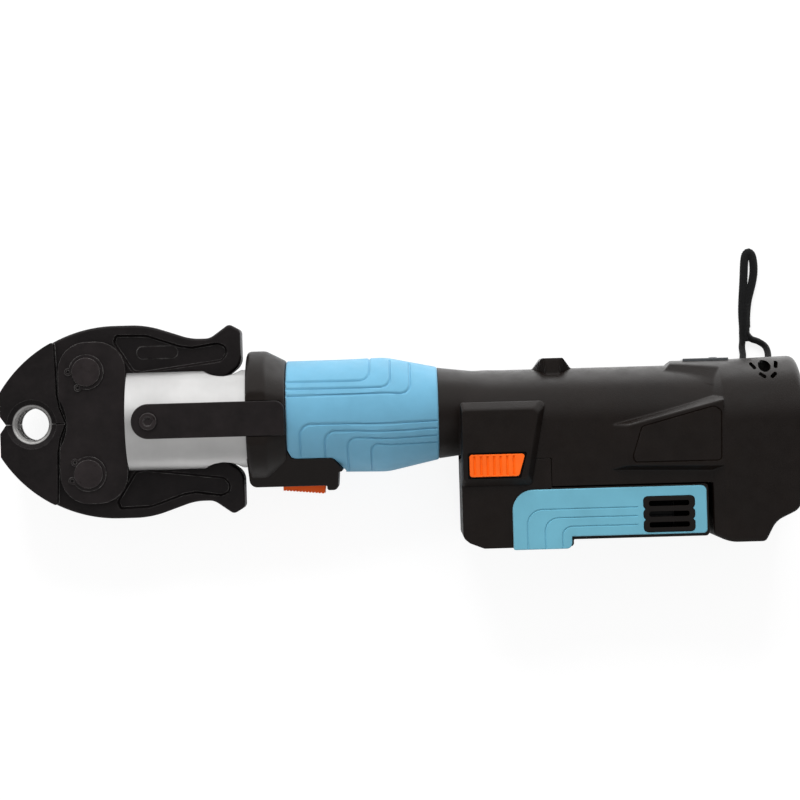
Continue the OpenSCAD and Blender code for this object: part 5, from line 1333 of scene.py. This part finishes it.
class PRESSTOOL_OT_battery(bpy.types.Operator):
    """Moulds the battery case and finishes its lid and cells"""
    bl_idname = "press_tool.battery"
    bl_label = "Battery"

    def execute(self, context):
        block = plate("block", rounded(NOSE), -CASE_HALF, CASE_HALF, 0.35, 3, both=True)
        carve(block, *(plate(name, box(*room), -CASE_ROOM, CASE_ROOM) for name, room in CASE_ROOMS),
              *vent_slots("slot_room", 0, *SLOT_ROOM_Z))
        low, high = rounded(PAD_LOW), rounded(PAD_HIGH)
        pad = tiers("pad", [(between(low, high, t), z) for t, z in PAD_STEPS])
        carve(pad, plate("button_room", rounded(grown(BUTTON, BUTTON_SLACK)), *BUTTON_ROOM_Z))
        case = merged("battery_shell", [block, pad, mirrored(pad, "pad_far")], 32)
        place(case, "battery", "housing", "black_plastic", "battery_case")
        dress("battery_lid", "vent", 0.3)
        # The cells and their straps take the near-black painted shade seen through the vent slots.
        dress("battery_cells", "cell_shade", 0.6)
        dress("cell_straps", "cell_shade")
        dress("leaf_near", "drive")
        dress("leaf_far", "drive")
        return {"FINISHED"}


PANEL = [
    (255.15, -73.4, 1), (286.15, -73.4, 3), (286.15, -67.0, 0.4), (357.75, -67.0, 2),
    (357.75, -41.8, 3), (255.15, -41.8, 11),
]
PANEL_Z = (28, 29.6)
VENT_Z = (28, 30)
THROUGH_Z = (27, 31)
PANEL_GROOVE, VENT_GAP = 0.55, 0.22
PANEL_LINES = [
    [(262.8, -73.6, 0), (262.8, -52.4, 8), (321.2, -52.4, 0)],
    [(272.1, -73.6, 0), (272.1, -57.0, 7), (321.2, -57.0, 0)],
    [(281.2, -73.6, 0), (281.2, -61.7, 5), (321.2, -61.7, 0)],
]
VENT_SIDES = ((1, 351.25), (-1, 324.25))
VENT_LOW, VENT_TALL, VENT_MID, VENT_PITCH = -65.8, 18.8, -56.4, 5.65
VENT_CORNER, VENT_STRAIGHT = 2.2, 7.2
VENT_STEPS, VENT_NARROW = 48, 8


def vent_edge():
    """The vent's outline, which dips between its slots."""
    edge = []
    for side, x in VENT_SIDES:
        wave = []
        for k in range(VENT_STEPS + 1):
            y = VENT_LOW + VENT_TALL * k / VENT_STEPS
            away = abs(y - VENT_MID)
            dip = abs(sin(pi * away / VENT_PITCH)) ** VENT_NARROW if away < VENT_PITCH else 0.0
            bend = max(0.0, away - VENT_STRAIGHT)
            crown = VENT_CORNER - sqrt(max(0.0, VENT_CORNER ** 2 - bend ** 2))
            wave.append((x - side * (dip + crown), y))
        edge += wave if side > 0 else wave[::-1]
    return edge


class PRESSTOOL_OT_panels(bpy.types.Operator):
    """Moulds the battery's side panels and vents"""
    bl_idname = "press_tool.panels"
    bl_label = "Panels and vents"

    def execute(self, context):
        edge = vent_edge()
        panel = plate("panel_skin_near", rounded(PANEL, 12), *PANEL_Z, 0.6, 3)
        carve(panel, plate("vent_room", offset(edge, VENT_GAP), *THROUGH_Z),
              *(groove_cutter(bent(line, 12), PANEL_Z[1], PANEL_GROOVE) for line in PANEL_LINES))
        vent = plate("vent_skin_near", edge, *VENT_Z, 0.5, 3)
        carve(vent, *vent_slots("slot", 1.2, *THROUGH_Z))
        for near, stem, slot in ((panel, "panel", "blue_panel"), (vent, "vent", "black_plastic")):
            sharpened(near, 30)
            place_both(near, stem, stem, slot, ("battery", "battery"))
        return {"FINISHED"}


BUTTON_Z = (31.0, 32.8)
RIB_X, RIB_SPAN, RIBS = 232.2, 27.6, 8
RIB_Y = (-33.4, -23.2)
RIB_Z, RIB_GROOVE = 33.15, 1.15


class PRESSTOOL_OT_buttons(bpy.types.Operator):
    """Moulds the ribbed release buttons"""
    bl_idname = "press_tool.buttons"
    bl_label = "Release buttons"

    def execute(self, context):
        near = plate("button_skin_near", rounded(BUTTON), *BUTTON_Z, 0.35, 3)
        xs = [RIB_X + RIB_SPAN * k / RIBS for k in range(1, RIBS)]
        carve(near, *(groove_cutter([(x, y) for y in RIB_Y], RIB_Z, RIB_GROOVE) for x in xs))
        sharpened(near, 30)
        place_both(near, "button", "button", "orange_plastic", ("button_near", "button_far"))
        return {"FINISHED"}


INNER_PIECES = {
    "drive": ("roller_fork", "roller_upper", "roller_lower", "roller_pins", "ram_piston",
              "return_spring", "pump_plunger", "planet_carrier", "crank_bearing", "planet_a",
              "planet_b", "planet_c", "motor_rotor"),
    "bright": ("ram_cylinder", "pump_block", "gear_case", "motor_can"),
    "seal": ("piston_seal", "oil_bladder"),
    "board": ("control_board",),
    "brass": ("tool_terminals",),
}


class PRESSTOOL_OT_drive(bpy.types.Operator):
    """Finishes the rollers, ram, pump, gears, motor and board"""
    bl_idname = "press_tool.drive"
    bl_label = "Drive"

    def execute(self, context):
        for finish, nodes in INNER_PIECES.items():
            for node in nodes:
                dress(node, finish)
        return {"FINISHED"}


OPERATORS = (
    PRESSTOOL_OT_stage, PRESSTOOL_OT_lanyard, PRESSTOOL_OT_jaws, PRESSTOOL_OT_links,
    PRESSTOOL_OT_yoke, PRESSTOOL_OT_collar, PRESSTOOL_OT_grip, PRESSTOOL_OT_housing,
    PRESSTOOL_OT_lens, PRESSTOOL_OT_battery, PRESSTOOL_OT_panels, PRESSTOOL_OT_buttons,
    PRESSTOOL_OT_drive,
)


class PRESSTOOL_PT_panel(bpy.types.Panel):
    """Lists the sizes, the colours and the making steps"""
    bl_idname = "PRESSTOOL_PT_panel"
    bl_label = "Press tool"
    bl_space_type = "VIEW_3D"
    bl_region_type = "UI"
    bl_category = "Press tool"

    def draw(self, context):
        column = self.layout.column()
        for group in (context.scene.press_tool_sizes, context.scene.press_tool_colours):
            for key in group.__annotations__:
                column.prop(group, key)
        for step in OPERATORS:
            column.operator(step.bl_idname)


CLASSES = (PressToolSizes, PressToolColours) + OPERATORS + (PRESSTOOL_PT_panel,)


def register():
    for each in CLASSES:
        bpy.utils.register_class(each)
    bpy.types.Scene.press_tool_sizes = bpy.props.PointerProperty(type=PressToolSizes)
    bpy.types.Scene.press_tool_colours = bpy.props.PointerProperty(type=PressToolColours)


def unregister():
    del bpy.types.Scene.press_tool_colours
    del bpy.types.Scene.press_tool_sizes
    for each in reversed(CLASSES):
        bpy.utils.unregister_class(each)


def main():
    register()
    for step in OPERATORS:
        group, name = step.bl_idname.split(".")
        getattr(getattr(bpy.ops, group), name)()


if __name__ == "__main__":
    main()
